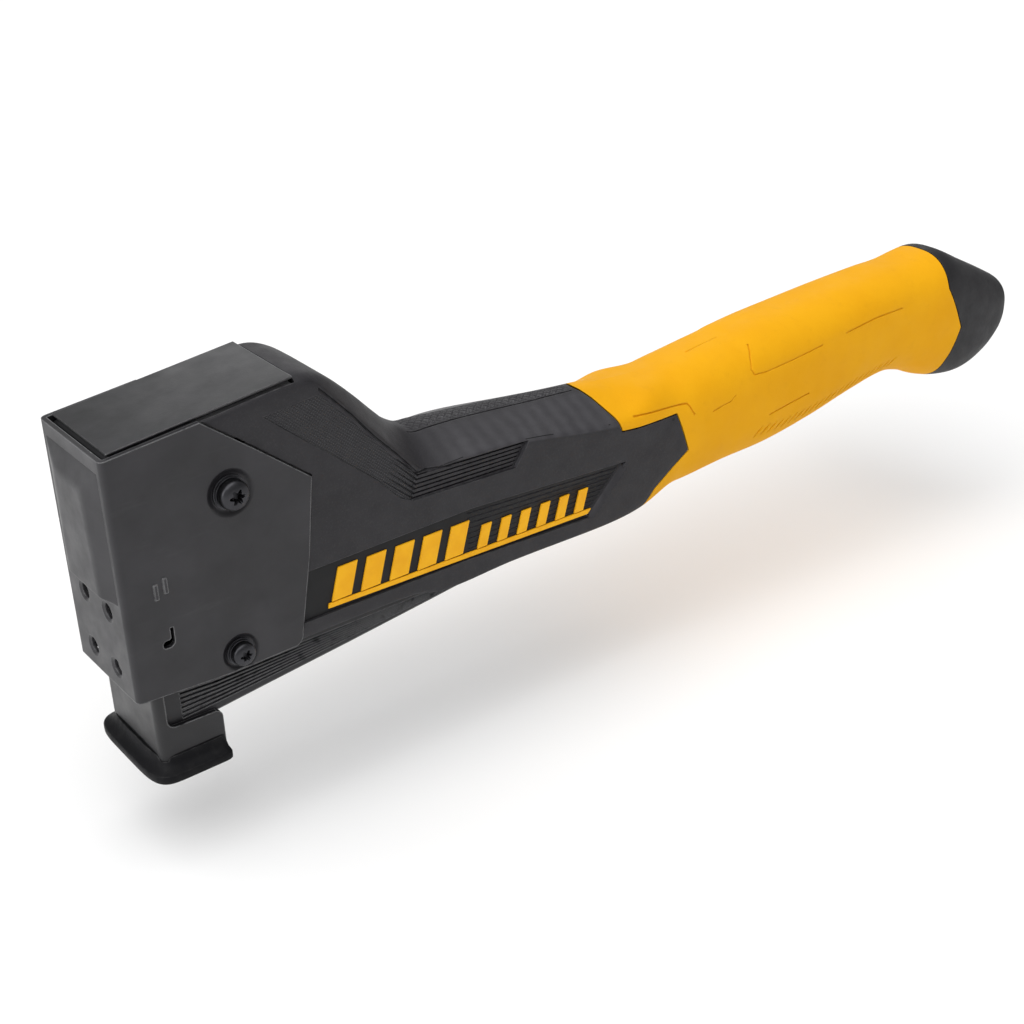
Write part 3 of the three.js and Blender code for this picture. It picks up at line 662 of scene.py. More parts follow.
def butt():
    stations = np.concatenate([np.arange(306.0, 340.0, 1.0), np.linspace(340, TAIL, 24)])
    cap = piece("butt_moulded", skin(stations, 90))
    carve(cap, across(BUTT_SIDE, -WIDE, WIDE), operation="INTERSECT")
    carve(cap, core(CORE_DEPTH - GAP))
    carve(cap, block(*BUTT_SLOT))
    shade(cap, 32)
    return cap


# ---- head ----
def folded_plan(front, back, half, radius, steps=10):
    """A sheet's plan outline: square at the back, rounded at both front corners."""
    near = arc((front + radius, half - radius), radius, 90, 180, steps)
    far = arc((front + radius, radius - half), radius, 180, 270, steps)
    return [(back, half), *near, *far, (back, -half)]


PANEL_BASE = (55.0, 91.6)  # where the raised panel starts and ends on the front face
PANEL_FLANK = 5.6
PANEL_HALVES = (14.6, 14.4)  # its half width at those heights


def panel_height(y, z):
    """Height of the pressed panel as a share of its rise: flanks that round over onto a flat crown,
    soft at the top and standing square at the bottom."""
    base = np.interp(z, PANEL_BASE, PANEL_HALVES)
    flank = np.interp(z, PANEL_BASE, (PANEL_FLANK, PANEL_FLANK + 1.6))
    side, top = (base - np.abs(y)) / flank, (PANEL_BASE[1] - z) / 6.2
    side, top = np.clip(side, 1e-3, 2), np.clip(top, 1e-3, 2)
    ramp = (side ** -9 + top ** -9) ** (-1 / 9)
    crest = 1 - np.clip(1 - np.clip(ramp - 0.8, 0, 0.4) / 0.4, 0, 1) ** 2
    ramp = np.where(ramp < 0.8, ramp, 0.8 + 0.2 * crest)
    foot_round = np.clip(1 - (z - PANEL_BASE[0]) / 1.1, 0, 1)
    return ramp * np.sqrt(1 - 0.85 * foot_round ** 2)


def front_panel(inset):
    """The raised panel, or the hollow behind it, as a solid that ends inside the sheet."""
    low, high = PANEL_BASE[0] + inset, PANEL_BASE[1] - inset
    levels = np.unique(np.concatenate([np.linspace(low, low + 1.4, 8), np.linspace(low + 2, 82, 12),
                                       np.linspace(82, high, 26)]))
    rings = []
    for z in levels:
        half = np.interp(z, PANEL_BASE, PANEL_HALVES) - inset
        ys = np.concatenate([np.linspace(-half, -4, 44), np.linspace(4, half, 44)])
        out = panel_height(ys / half * (half + inset), z) * PANEL_RISE
        front = [(PLATE_FRONT + inset - o, y, z) for o, y in zip(out, ys)]
        rear = PLATE_FRONT + inset + 0.6
        rings.append(front + [(rear, half, z), (rear, -half, z)])
    return tube(rings)


def dish(centre, rim, floor_radius):
    """A cutter for the pressed recess round a screw, on the near side."""
    face, floor = -PLATE_HALF, -DISH_FLOOR
    slope = [(floor_radius + (rim - floor_radius) * t, floor + (face - floor) * (3 * t ** 2 - 2 * t ** 3))
             for t in np.linspace(0, 1, 9)]
    profile = [(0, floor), *slope, (rim + 0.6, face - 0.04), (rim + 0.6, -WIDE), (0, -WIDE)]
    return turned(profile, centre, 64)


HOLE_OFF, HOLE_HEIGHTS = 6.7, (33.1, 49.9)


def front_holes():
    """Two by two holes, each in a pressed dimple."""
    profile = [(0, -0.6), (3.5, -0.6), (3.1, 0.03), (2.6, 0.16), (2.2, 0.45), (2.05, 0.9), (2.0, 3),
               (0, 3)]
    points, faces = turned(profile, (0, 0), 32)
    return [([(b + PLATE_FRONT, y + a, z + c) for a, b, c in points], faces)
            for y in (-HOLE_OFF, HOLE_OFF) for z in HOLE_HEIGHTS]


HOOK = [(11.7, 45.3), (10.8, 45.3), (10.8, 42.4), (10.3, 42.0), (8.9, 41.9), (8.4, 41.4), (8.4, 40.3),
        (8.9, 39.8), (10.6, 39.8), (11.5, 40.5), (11.7, 41.4)]


def head_plate():
    sheet = piece("head_pressing", upright(folded_plan(PLATE_FRONT, 60, PLATE_HALF, 1.7), 20, 100))
    outline = PLATE_SIDE[:6] + [(48.2, 28.4)] + arc((45.2, 28.0), 3.0, 8, -78, 6)[1:] + [(27, 25)]
    carve(sheet, across(outline, -WIDE, WIDE), operation="INTERSECT")
    carve(sheet, front_panel(0), operation="UNION")
    inside = upright(folded_plan(PLATE_FRONT + PLATE_SHEET, 61, PLATE_IN, 0.4, 6), 19, 101)
    carve(sheet, inside, front_panel(PLATE_SHEET))
    presses = [across([(x, z), (x + 1, z), (x + 1, z + 4.3), (x, z + 4.3)], -17.4, -16)
               for x, z in ((10.7, 55.5), (8, 54.5))]
    carve(sheet, both(presses), operation="UNION")
    carve(sheet, front_holes(), both(across(HOOK, -WIDE, -10)),
          both([dish(UPPER_SCREW, 6.9, 4.9), dish(LOWER_SCREW, 5.6, 4.1)]))
    carve(sheet, [through(UPPER_BORE, UPPER_SCREW), through(LOWER_BORE, LOWER_SCREW)])
    return soften(sheet, 0.3, 2, 40)


def strike_block():
    """A ground block whose top edge overhangs a shallow relief all round."""
    lip, relief, under = 1.0, 0.9, 1.1
    (x0, z0), (x1, z1) = (2, 96.2), (53.6, 101.2)
    def level(drop, inset):
        half = BLOCK_HALF - inset
        return [(x0 + inset, -half, z0 - drop), (x0 + inset, half, z0 - drop),
                (x1 - inset, half, z1 - drop), (x1 - inset, -half, z1 - drop)]
    rows = [level(9.8, 0), level(2.2, 0), level(under + lip * 0.4, relief), level(under, relief),
            level(0.55, 0), level(0, 0)]
    head = piece("strike_block_ground", tube(rows))
    return soften(head, 0.22, 3, 30)


def star(centre, radius, y0, y1):
    """A six-lobed recess that narrows towards its floor, y0."""
    angles = around(72)
    size = radius * (1 + 0.27 * np.cos(6 * angles))
    def ring(share, y):
        return [(centre[0] + r * share * math.cos(a), y, centre[1] + r * share * math.sin(a))
                for a, r in zip(angles, size)]
    return tube([ring(0.7, y0), ring(1.05, y1)])


def screw(name, centre, shank, tip, head, crown):
    """A pan-headed screw on the near side, pointing inwards."""
    under = HEAD_SEAT
    wall = under + (crown - under) * 0.42
    dome = [(head * math.cos(a), wall + (crown - wall) * math.sin(a) ** 0.8)
            for a in np.radians(np.linspace(0, 84, 9))]
    profile = [(0, tip), (shank - 0.4, tip), (shank, tip + 0.5), (shank, under),
               (head - 0.25, under), (head, under + 0.25), *dome[:-1], (head * 0.3, crown), (0, crown)]
    near = [(radius, -y) for radius, y in profile]
    made = piece(name, turned(near, centre, 56))
    carve(made, star(centre, head * 0.46, 0.35 - crown + (crown - under) * 0.55, -crown - 0.5))
    return soften(made, 0.08, 2, 40)


def washers(name, centre, hole, rim):
    """A flat washer with a split spring washer on it, as one turned piece."""
    low, top = -(DISH_FLOOR + GAP / 2), -(HEAD_SEAT - 0.02)
    flat = low - 0.45
    profile = [(hole, low), (rim, low), (rim, flat), (rim - 0.35, flat - 0.03), (rim - 0.45, flat - 0.1),
               (rim - 0.25, flat - 0.16), (rim - 0.25, top), (hole, top), (hole, low)]
    return soften(piece(name, turned(profile, centre, 48)), 0.06, 2, 40)


# ---- magazine ----
def nose_frame():
    outer = piece("nose_folded", upright(folded_plan(NOSE_FRONT, NOSE_REAR, NOSE_HALF, 2.6), 2.3, 45))
    side = [(0, 2.3), (0, 45), (7, 45), (7, 17.2), *arc((9.6, 17.2), 2.6, 190, 262, 6),
            (21.2, 14.2), *arc((20.6, 12.0), 2.2, 80, 0, 5), (NOSE_REAR, 2.3)]
    carve(outer, across(side, -WIDE, WIDE), operation="INTERSECT")
    inner = folded_plan(NOSE_FRONT + NOSE_SHEET, 30, NOSE_HALF - NOSE_SHEET, 1.2, 6)
    carve(outer, upright(inner, -1, 51))
    return soften(outer, 0.35, 2, 40)


FOOT_MIDDLE = 12.2
FOOT_TOP = 6.2
FOOT_FRONT, FOOT_BACK, FOOT_HALF = 11.9, 11.0, 18.9  # reach from the middle
FOOT_LEVELS = [(0, 0.55), (0.15, 0.2), (0.5, 0.02), (1.3, 0), (2.1, 0.02), (2.5, 0.2), (2.7, 0.55),
               (3.0, 1.15), (3.5, 1.9), (4.2, 2.5), (5.0, 2.9), (5.8, 3.1), (FOOT_TOP, 3.25)]


def foot_ring(level, inset, count=160):
    """The foot's plan at a level: a rounded rectangle, rounder in front."""
    side, ahead = np.cos(around(count)), np.sin(around(count))
    power = np.where(ahead > 0, 5, 18)
    reach = np.where(ahead > 0, FOOT_FRONT - inset, FOOT_BACK - min(inset, 0.3))
    total = (np.abs(side) / (FOOT_HALF - inset)) ** power + (np.abs(ahead) / reach) ** power
    radius = total ** (-1 / power)
    return [(FOOT_MIDDLE - a * r, -s * r, level) for a, s, r in zip(ahead, side, radius)]


def foot():
    sole = piece("foot_rubber", tube([foot_ring(level, inset) for level, inset in FOOT_LEVELS]))
    opening = [(6.7, -9), (6.7, 9), (9.4, 12.4), (40, 12.4), (40, -12.4), (9.4, -12.4)]
    room = folded_plan(NOSE_FRONT - 0.05, NOSE_REAR + 0.2, NOSE_HALF + 0.05, 2.6)
    seat = piece("seat", upright(room, 2, 8))
    keep = folded_plan(NOSE_FRONT + NOSE_SHEET + GAP, 30, NOSE_HALF - NOSE_SHEET - GAP, 1.2)
    carve(seat, upright(keep, 1, 9))
    carve(sole, upright(opening, -1, 9), seat, block(NOSE_FRONT, 30, -NOSE_HALF, NOSE_HALF, 5, 8))
    shade(sole, 35)
    return sole


SKIRT_LOW = [(23, 12.9), (38, 14.3), (64, 16.6), (91, 19.2), (105.7, 20.7), (120, 21.6), (142, 21.6),
             (148, 21.4), (153, 22.6), (158, 23.9)]
SKIRT_OUTLINE = [(7.6, 12.4), (7.6, SKIRT_TOP), (158, SKIRT_TOP), *SKIRT_LOW[::-1]]
SKIRT_RIBS = 7


def skirt_grooves():
    """Grooves that start apart behind the nose and close up towards the rear."""
    lines = []
    for i in range(SKIRT_RIBS):
        t = i / (SKIRT_RIBS - 1)
        points = [(12.2, 24.3 - 8.9 * t), (23, 23.2 - 7.2 * t), (64, 22.6 - 3.9 * t),
                  (96, 22.4 - 1.4 * t), (104, 22.5 - 0.9 * t)]
        lines.append(flat_groove(points, [0.85, 0.85, 0.5, 0.2, 0.1], [0.7, 0.7, 0.45, 0.15, 0.05],
                                 SKIRT_HALF))
    return lines


def skirt():
    cover = piece("skirt_moulded", across(SKIRT_OUTLINE, -SKIRT_HALF, SKIRT_HALF))
    inside, web = SKIRT_HALF - SKIRT_SHEET, SKIRT_TOP - SKIRT_SHEET
    edge = [(-10, 9.8), (7, 11.4), *SKIRT_LOW, (170, 27)]
    path = [(x, -SKIRT_HALF, z) for x, z in edge]
    chamfer = groove(path, [(0, -1, -0.8)] * len(path), 40, 0.45, floor=1)
    carve(cover, both(chamfer))
    carve(cover, block(0, 170, -inside, inside, 0, web), block(138, 152.5, -inside, inside, 0, 40),
          through(PIVOT_RADIUS + 0.4, PIVOT))
    points, faces = bar(1.5, (0, 0), 20, 40, 24)
    rivet_bores = [([(x + a, c, b) for a, b, c in points], faces) for x in (24, 102)]
    carve(cover, rivet_bores, both(skirt_grooves()))
    return soften(cover, 0.15, 2, 50, 35)


# ---- springs ----
FEED_START, FEED_END, FEED_LEVEL = 18.9, 97.4, -4.4  # the follower's spring, along the level rail


def coil(radius, wire, turns, length, steps, sides=12, closed=0.75):
    """A compression spring along +Z whose end coils lie closer than the rest."""
    t = np.linspace(0, 1, int(turns * steps) + 1)
    density = 1 - 0.55 * (eased(closed / turns - t, 0, 0.05) + eased(t - 1 + closed / turns, 0, 0.05))
    rise = np.concatenate([[0], np.cumsum((density[1:] + density[:-1]) / 2)])
    height = rise / rise[-1] * length
    lead = math.atan2(length / turns, 2 * math.pi * radius)
    rings = []
    for angle, z in zip(t * turns * 2 * math.pi, height):
        c, s = math.cos(angle), math.sin(angle)
        outward = np.array([c, s, 0])
        lift = np.array([s * math.sin(lead), -c * math.sin(lead), math.cos(lead)])
        centre = outward * radius + (0, 0, z)
        rings.append([centre + wire * (outward * math.cos(a) + lift * math.sin(a)) for a in around(sides)])
    return tube(rings)


def on_rail(points):
    """Moves points drawn along the level rail into its slanted place."""
    c, s = math.cos(RAIL_SLOPE), math.sin(RAIL_SLOPE)
    return [(RAIL_START[0] + x * c - z * s, y, RAIL_START[1] + x * s + z * c) for x, y, z in points]


def return_spring():
    points, faces = coil(radius=6, wire=0.8, turns=5.5, length=18.4, steps=40)
    placed = [(x + SPRING_X, y, z + SPRING_FLOOR) for x, y, z in points]
    return piece("return_spring_coil", (placed, faces))


def follower_spring():
    points, faces = coil(radius=2.1, wire=0.35, turns=18, length=78.5, steps=24, sides=8)
    along = [(FEED_START + z, y, FEED_LEVEL - x) for x, y, z in points]
    return piece("follower_spring_coil", (on_rail(along), faces))


# ---- finishes ----
class Finish:
    """A material built from nodes on object coordinates, which are the frame's own metres."""

    def __init__(self, name, **inputs):
        self.material = bpy.data.materials.new(name)
        self.material.use_nodes = True
        self.tree = self.material.node_tree
        self.shader = self.tree.nodes["Principled BSDF"]
        for key, value in inputs.items():
            self.shader.inputs[key.replace("_", " ")].default_value = value
        self.place = self.node("TexCoord").outputs["Object"]

    def node(self, kind, inputs=(), **settings):
        made = self.tree.nodes.new("ShaderNode" + kind)
        for key, value in settings.items():
            setattr(made, key, value)
        for key, value in dict(inputs).items():
            if isinstance(value, bpy.types.NodeSocket):
                self.tree.links.new(value, made.inputs[key])
            else:
                made.inputs[key].default_value = value
        return made

    def mapped(self, **inputs):
        """Object coordinates, stretched or turned."""
        return self.node("Mapping", {"Vector": self.place, **inputs}).outputs["Vector"]

    def noise(self, size, detail, roughness=0.55, place=None):
        """Noise from 0 to 1 whose features are about size millimetres across."""
        inputs = {"Vector": place or self.place, "Scale": 1 / (size * MM), "Detail": detail,
                  "Roughness": roughness}
        return self.node("TexNoise", inputs).outputs["Fac"]

    def range(self, value, low, high, to_low=0.0, to_high=1.0):
        inputs = {"Value": value, "From Min": low, "From Max": high, "To Min": to_low,
                  "To Max": to_high}
        return self.node("MapRange", inputs, clamp=True).outputs["Result"]

    def maths(self, operation, a, b):
        return self.node("Math", {0: a, 1: b}, operation=operation).outputs["Value"]

    def blend(self, factor, a, b):
        a, b = (end if isinstance(end, bpy.types.NodeSocket) else (*end, 1) for end in (a, b))
        return self.node("Mix", {"Factor": factor, 6: a, 7: b}, data_type="RGBA").outputs[2]

    def mottle(self, size, detail, window, a, b, roughness=0.55):
        """Patches about size millimetres across that go from one colour to another."""
        return self.blend(self.range(self.noise(size, detail, roughness), *window), a, b)

    def dulling(self, size, low, high, detail=4, roughness=0.55):
        """Roughness that drifts between two values."""
        return self.range(self.noise(size, detail, roughness), 0.3, 0.7, low, high)

    def grain(self, fine, coarse, detail=2):
        return self.maths("ADD", self.noise(fine, 3), self.noise(coarse, detail))

    def rounding(self, radius):
        """The normal with edges rounded over by a radius in millimetres."""
        return self.node("Bevel", {"Radius": radius * MM}, samples=6).outputs["Normal"]

    def edges(self, radius, patchy=0.38):
        """1 on an edge and 0 away from it, broken up so that the wear, and on black steel the painted edge
        highlight, is uneven.
        """
        true = self.node("NewGeometry").outputs["Normal"]
        meet = self.node("VectorMath", {0: true, 1: self.rounding(radius)}, operation="DOT_PRODUCT")
        edge = self.range(meet.outputs["Value"], 0.99, 0.85)
        patches = self.range(self.noise(2.6, 4), patchy, patchy + 0.22)
        return self.maths("MULTIPLY", edge, patches)

    def bump(self, height, depth, normal=None, strength=1.0):
        inputs = {"Height": height, "Distance": depth * MM, "Strength": strength}
        if normal is not None:
            inputs["Normal"] = normal
        return self.node("Bump", inputs).outputs["Normal"]

    def done(self, colour, rough, normal=None):
        """Wires up the shader and gives the material."""
        for key, value in {"Base Color": colour, "Roughness": rough, "Normal": normal}.items():
            if value is not None:
                self.tree.links.new(value, self.shader.inputs[key])
        return self.material


def moulding(name, tint=1.0, neck=False):
    """Charcoal glass-filled nylon with a fine spark-eroded grain and paler rubbed edges."""
    finish = Finish(name, Specular_IOR_Level=0.35)
    dark, light, fleck = (tuple(c * tint for c in colour) for colour in (
        (0.0148, 0.0138, 0.0165), (0.0192, 0.0180, 0.0212), (0.032, 0.031, 0.034)))
    colour = finish.mottle(14, 4, (0.35, 0.65), dark, light)
    colour = finish.mottle(0.5, 2, (0.52, 0.75, 0, 0.5), colour, fleck)
    rough = finish.dulling(5, 0.5, 0.62)
    # on the neck: a painted sheen on the slanting flanks, and smoother roughness there
    if neck:
        colour, rough = neck_band(finish, colour, rough)
    colour = finish.blend(finish.edges(0.45), colour, (0.060, 0.058, 0.062))
    normal = finish.bump(finish.grain(0.32, 1.4), 0.05, finish.rounding(0.25))
    return finish.done(colour, rough, normal)


def neck_band(finish, colour, rough):
    """Over the neck's slanting flanks the nylon is smoother, with faint cells of the cloth beneath, and a
    paler colour is painted on there as sheen; the change follows the way the surface faces and fades in
    behind the slope."""
    wave = finish.node("TexWave", {"Vector": finish.place, "Scale": 62.0, "Distortion": 1.5,
                                   "Detail": 2.0, "Detail Scale": 2.0}).outputs["Fac"]
    tone = finish.maths("ADD", finish.maths("MULTIPLY", wave, 0.5), finish.noise(3, 3))
    # painted sheen: a paler colour, with the cloth's cells in it, for the flanks that face partly upwards
    paler = finish.blend(finish.range(tone, 0.4, 1.1), (0.036, 0.0345, 0.039), (0.052, 0.0505, 0.056))
    facing = finish.node("NewGeometry").outputs["Normal"]
    up = finish.node("SeparateXYZ", {"Vector": facing}).outputs["Z"]
    # mask of the painted sheen: surfaces that face partly upwards, not the flat top or the upright sides
    flank = finish.maths("MULTIPLY", finish.range(up, 0.15, 0.4), finish.range(up, 0.97, 0.9))
    along = finish.node("SeparateXYZ", {"Vector": finish.place}).outputs["X"]
    start, end = (92 + ORIGIN) * MM, (166 + ORIGIN) * MM
    reach = finish.maths("MULTIPLY", finish.range(along, start, start + 14 * MM),
                         finish.range(along, end, end - 3 * MM))
    band = finish.maths("MULTIPLY", flank, reach)
    smoother = finish.maths("SUBTRACT", rough, finish.maths("MULTIPLY", band, 0.1))
    return finish.blend(band, colour, paler), smoother


def moulding_fine():
    """The same nylon where the tool carries a fine woven texture."""
    finish = Finish("moulding_fine", Specular_IOR_Level=0.42)
    waves = {"Vector": finish.mapped(Rotation=(0, 0.82, 0)), "Scale": 420.0, "Distortion": 0.0}
    strands = [finish.node("TexWave", waves, bands_direction=axis).outputs["Fac"] for axis in ("X", "Z")]
    cloth = finish.maths("MULTIPLY", *strands)
    colour = finish.blend(cloth, (0.008, 0.0078, 0.0095), (0.040, 0.039, 0.045))
    colour = finish.mottle(9, 3, (0.25, 0.5), (0.0170, 0.0160, 0.0182), colour)
    height = finish.maths("ADD", cloth, finish.noise(0.3, 3))
    return finish.done(colour, finish.dulling(3, 0.48, 0.6), finish.bump(height, 0.18))


def moulding_panel():
    """Smooth black ground behind the stripes."""
    finish = Finish("moulding_panel", Specular_IOR_Level=0.25)
    colour = finish.mottle(6, 4, (0.35, 0.65), (0.006, 0.006, 0.007), (0.010, 0.010, 0.011))
    rough = finish.dulling(3, 0.45, 0.6)
    return finish.done(colour, rough, finish.bump(finish.noise(0.35, 3), 0.03, finish.rounding(0.15)))


def grip_rubber():
    """Soft amber rubber, matt, with a fine grain and slight dulling where it is handled."""
    finish = Finish("grip_rubber", Specular_IOR_Level=0.1)
    colour = finish.mottle(22, 5, (0.35, 0.68), (0.79, 0.365, 0.004), (0.83, 0.40, 0.006))
    colour = finish.mottle(4, 6, (0.56, 0.8, 0, 0.22), colour, (0.60, 0.27, 0.008), 0.65)
    colour = finish.blend(finish.edges(0.45), colour, (0.88, 0.47, 0.02))
    normal = finish.bump(finish.grain(0.45, 2.4), 0.05, finish.rounding(0.4))
    return finish.done(colour, finish.dulling(7, 0.56, 0.7), normal)


def stripe_paint():
    """Printed amber ink on the moulding's grain."""
    finish = Finish("stripe_paint", Specular_IOR_Level=0.2)
    colour = finish.mottle(5, 4, (0.35, 0.65), (0.86, 0.40, 0.004), (0.92, 0.46, 0.006))
    colour = finish.mottle(0.9, 5, (0.7, 0.78, 0, 0.7), colour, (0.25, 0.13, 0.02), 0.7)
    rough = finish.dulling(2, 0.42, 0.58, 3)
    return finish.done(colour, rough, finish.bump(finish.noise(0.35, 3), 0.03, finish.rounding(0.12)))


def black_steel(name, shine, tint):
    """Satin black coating on pressed steel: faint ripples, fine orange peel, soft patches of painted
    reflection, and bright edges that are partly rubbed and partly painted highlight.
    """
    finish = Finish(name, Specular_IOR_Level=0.55, Metallic=0.25)
    # painted reflection: soft patches of lighter and darker coating colour that stand in for cloudy
    # reflections
    dark, light = (tuple(c * share for c in tint) for share in (0.84, 1.32))
    colour = finish.mottle(19, 5, (0.38, 0.64), dark, light)
    scuffs = finish.noise(1, 6, 0.7, finish.mapped(Scale=(0.05, 0.9, 0.35)))
    colour = finish.blend(finish.range(scuffs, 0.58, 0.75, 0, 0.22), colour, (0.045, 0.045, 0.047))
    # bright edges: partly rubbed paint, partly a painted highlight in place of reflections along the edges
    colour = finish.blend(finish.edges(0.6, 0.25), colour, (0.18, 0.18, 0.185))
    rough = finish.dulling(8, 0.36 - shine, 0.5 - shine, 5, 0.6)
    ripple = finish.bump(finish.noise(12, 2, 0.4), 0.25, finish.rounding(0.3), 0.5)
    return finish.done(colour, rough, finish.bump(finish.noise(0.5, 3), 0.015, ripple))


def foot_black():
    """Black rubber, slightly dusty in the hollows and on the sole."""
    finish = Finish("foot_black", Specular_IOR_Level=0.1)
    colour = finish.mottle(3.5, 6, (0.5, 0.75, 0, 0.5), (0.006, 0.006, 0.007),
                           (0.016, 0.0155, 0.0155), 0.65)
    colour = finish.blend(finish.edges(0.45), colour, (0.045, 0.045, 0.046))
    normal = finish.bump(finish.grain(0.4, 1.8, 3), 0.05, finish.rounding(0.3))
    return finish.done(colour, finish.dulling(3, 0.42, 0.62), normal)


def metal(name, tint, rough_low, rough_high, brushed=(1, 0.06, 0.06)):
    """Bare or plated metal with brushing, and duller blotches."""
    finish = Finish(name, Metallic=1.0)
    colour = finish.mottle(5, 5, (0.35, 0.7), tint, tuple(c * 0.78 for c in tint), 0.6)
    colour = finish.blend(finish.edges(0.45), colour, tuple(min(1, c * 1.5) for c in tint))
    lines = finish.noise(0.25, 4, 0.6, finish.mapped(Scale=brushed))
    rough = finish.range(finish.maths("ADD", lines, finish.noise(3, 3)), 0.7, 1.3, rough_low, rough_high)
    return finish.done(colour, rough, finish.bump(lines, 0.01, finish.rounding(0.15)))


def floor_finish():
    finish = Finish("floor_paint", Specular_IOR_Level=0.1)
    colour = finish.mottle(300, 2, (0.3, 0.7), (0.86, 0.86, 0.86), (0.88, 0.88, 0.88))
    return finish.done(colour, finish.dulling(60, 0.8, 0.9, 2))


def dress(node, material, rounding=0.15):
    """Gives a CAD node that stays in view its finish and rounds its edges."""
    obj = nodes[node]
    for mesh_slot in obj.material_slots:
        mesh_slot.link = "OBJECT"
        mesh_slot.material = material
    if not obj.material_slots:
        obj.data.materials.append(material)
    bevel(obj, rounding, 2, 40)


# ---- the object ----
def stands_for(obj, body, node_names, slot, *materials):
    """A new piece takes the place of CAD nodes on a body; its faces know which material they use."""
    for material in materials:
        obj.data.materials.append(material)
    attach(obj, body)
    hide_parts(*node_names)
    return obj


steel_coat = black_steel("black_steel", 0, (0.0175, 0.0168, 0.0195))
block_coat = black_steel("block_coat", 0.04, (0.015, 0.015, 0.017))
# painted shade: a copy of the black steel at about 0.4 of its colour, so the nose frame's sides read
# darker than the floor's bounced light leaves them
boot_coat_painted_shade = black_steel("boot_coat_painted_shade", 0.04, (0.007, 0.0068, 0.008))
skirt_coat = black_steel("skirt_coat", -0.1, (0.013, 0.0125, 0.0145))
amber = grip_rubber()
paint = stripe_paint()
rubber = foot_black()
zinc = metal("zinc_plate", (0.60, 0.60, 0.61), 0.28, 0.5)
blued = metal("black_oxide", (0.055, 0.055, 0.06), 0.3, 0.5, (1, 1, 1))
spring_wire = metal("spring_wire", (0.42, 0.42, 0.44), 0.22, 0.42, (1, 1, 0.2))

stands_for(housing(), "tool", ["housing"], "moulding", moulding("moulding_body", neck=True),
           moulding_fine(), moulding_panel())
stands_for(grip(), "tool", ["grip_sleeve"], "grip_rubber", amber)
# painted shade: the butt takes the body's nylon at 0.62 of its colour, a darker copy that stands in for
# less light on it
stands_for(butt(), "tool", ["butt_cap"], "moulding", moulding("moulding_butt_painted_shade", 0.62))
stands_for(head_plate(), "tool", ["head_plate"], "black_steel", steel_coat)
stands_for(strike_block(), "tool", ["strike_block"], "black_steel", block_coat)

for side in ("left", "right"):
    marks = piece("stripe_marks_" + side, stripes())
    fasteners = {
        "upper_screw_": screw("upper_screw_pan_" + side, UPPER_SCREW,
                              shank=2.2, tip=6, head=4.1, crown=20.8),
        "lower_screw_": screw("lower_screw_pan_" + side, LOWER_SCREW,
                              shank=1.6, tip=14.15, head=3.3, crown=19.9),
        "upper_washer_": washers("upper_washer_set_" + side, UPPER_SCREW, UPPER_BORE, rim=4.75),
        "lower_washer_": washers("lower_washer_set_" + side, LOWER_SCREW, LOWER_BORE, rim=3.95)}
    if side == "left":
        for obj in (marks, *fasteners.values()):
            obj.data.transform(Matrix.Scale(-1, 4, (0, 1, 0)))
            obj.data.flip_normals()
    stands_for(marks, "tool", ["stripes_" + side], "stripe", paint)
    for node, obj in fasteners.items():
        stands_for(obj, "tool", [node + side], "black_fastener", blued)

stands_for(nose_frame(), "magazine", ["nose_frame"], "black_steel", boot_coat_painted_shade)
stands_for(foot(), "magazine", ["nose_bumper"], "black_rubber", rubber)
stands_for(skirt(), "magazine", ["magazine_skirt"], "black_steel", skirt_coat)

spring = stands_for(return_spring(), "tool", ["return_spring"], "spring_steel", spring_wire)
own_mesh(spring)
feed = stands_for(follower_spring(), "rail", ["follower_spring"], "spring_steel", spring_wire)
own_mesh(feed)

STEEL_PARTS = ["driver_block", "blade_rivet_left", "blade_rivet_right", "cross_tube", "pivot_pin",
               "stop_pin", "pivot_sleeve", "staple_channel", "channel_rivet_front",
               "channel_rivet_rear", "spring_cup", "rail_hinge_pin", "staple_rail", "guide_rod",
               "rod_end", "follower"]
for name in STEEL_PARTS:
    dress(name, zinc)
dress("driver_blade", spring_wire)
dress("bump_pad", rubber, 0.3)


# ---- stage ----
RAIL_DROP = 30.0  # room below the sole for the staple rail when it hangs open
CAMERA_AT = (-0.1347, -0.3495, 0.2672)
CAMERA_TURNS = (-37.02, -28.63, -1.74)  # heading, pitch and roll
LENS = 58.0


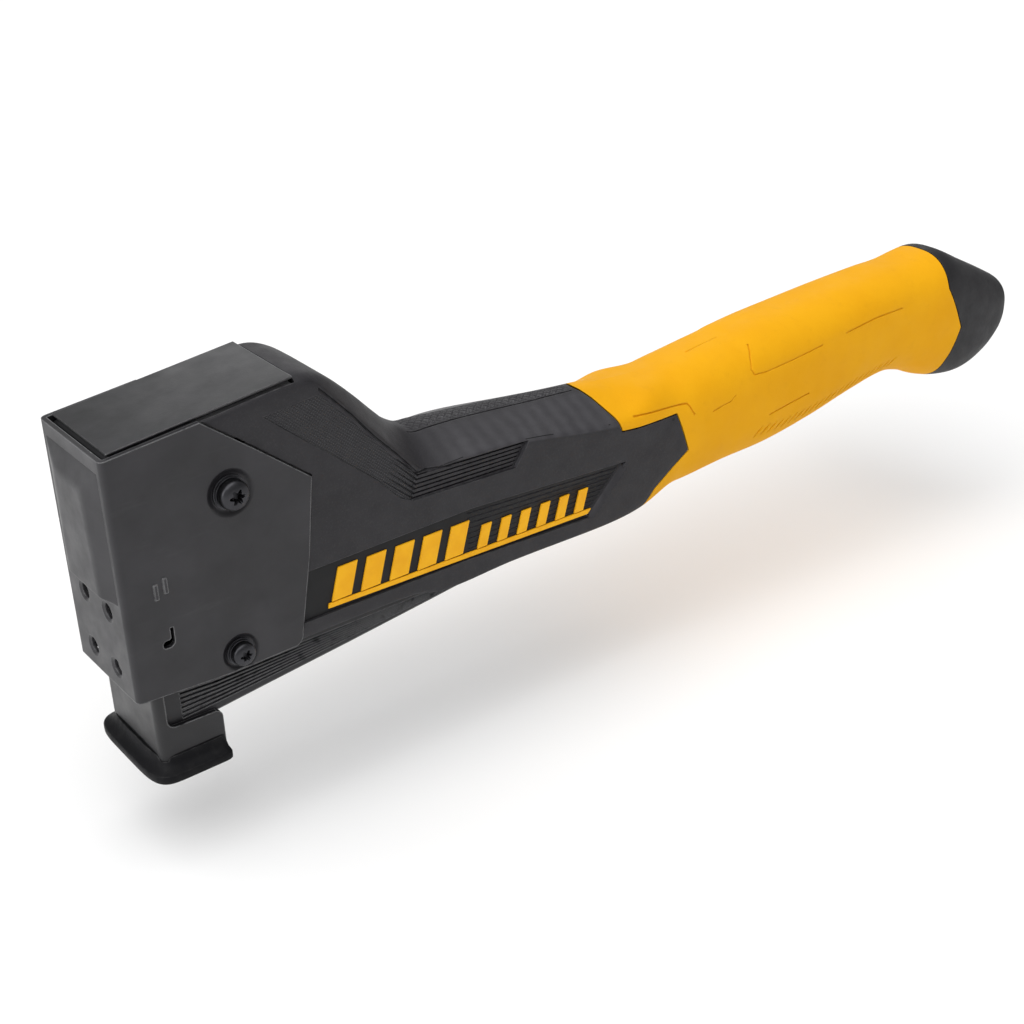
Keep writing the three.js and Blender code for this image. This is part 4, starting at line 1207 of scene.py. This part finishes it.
def floor():
    size, low = 4.0, -RAIL_DROP * MM
    mesh = bpy.data.meshes.new("floor")
    corners = [(-size, -size, low), (size, -size, low), (size, size, low), (-size, size, low)]
    mesh.from_pydata(corners, [], [(0, 1, 2, 3)])
    obj = added("floor", mesh)
    mesh.materials.append(floor_finish())


def lamp(name, kind, power, back):
    """A lamp whose light comes from the direction back."""
    light = bpy.data.lights.new(name, kind)
    light.energy = power
    obj = added(name, light)
    obj.rotation_mode = "QUATERNION"
    obj.rotation_quaternion = Vector(back).to_track_quat("Z", "Y")
    return obj


def softbox(name, place, target, size, power):
    obj = lamp(name, "AREA", power, Vector(place) - Vector(target))
    obj.location = place
    obj.data.shape = "RECTANGLE"
    obj.data.size, obj.data.size_y = size


def world(strength):
    sky = bpy.data.worlds.new("studio")
    sky.use_nodes = True
    sky.node_tree.nodes["Background"].inputs["Color"].default_value = (1, 1, 1, 1)
    sky.node_tree.nodes["Background"].inputs["Strength"].default_value = strength
    bpy.context.scene.world = sky


def camera():
    """Looks down and back along the tool from in front of its right side."""
    heading, pitch, roll = (math.radians(turn) for turn in CAMERA_TURNS)
    lens = bpy.data.cameras.new("camera")
    lens.sensor_width, lens.lens = 36, LENS
    lens.clip_start, lens.clip_end = 0.02, 20
    obj = added("camera", lens)
    turn = (Matrix.Rotation(heading, 4, "Z") @ Matrix.Rotation(math.pi / 2 + pitch, 4, "X")
            @ Matrix.Rotation(roll, 4, "Z"))
    obj.matrix_world = Matrix.Translation(CAMERA_AT) @ turn
    bpy.context.scene.camera = obj


floor()
world(0.3)
HEAD_AT = (0.06, 0, 0.06)
MIDDLE_AT = (0.17, 0, 0.05)
overhead = lamp("overhead", "SUN", 2.6, (-0.25, -0.2, 1.0))
overhead.data.angle = math.radians(75)
softbox("front_box", (-0.70, -0.05, 0.30), HEAD_AT, (0.4, 0.4), 2.5)
softbox("rear_box", (0.75, 0.85, 0.50), MIDDLE_AT, (0.9, 0.35), 2)
camera()
bpy.context.scene.view_settings.view_transform = "Standard"
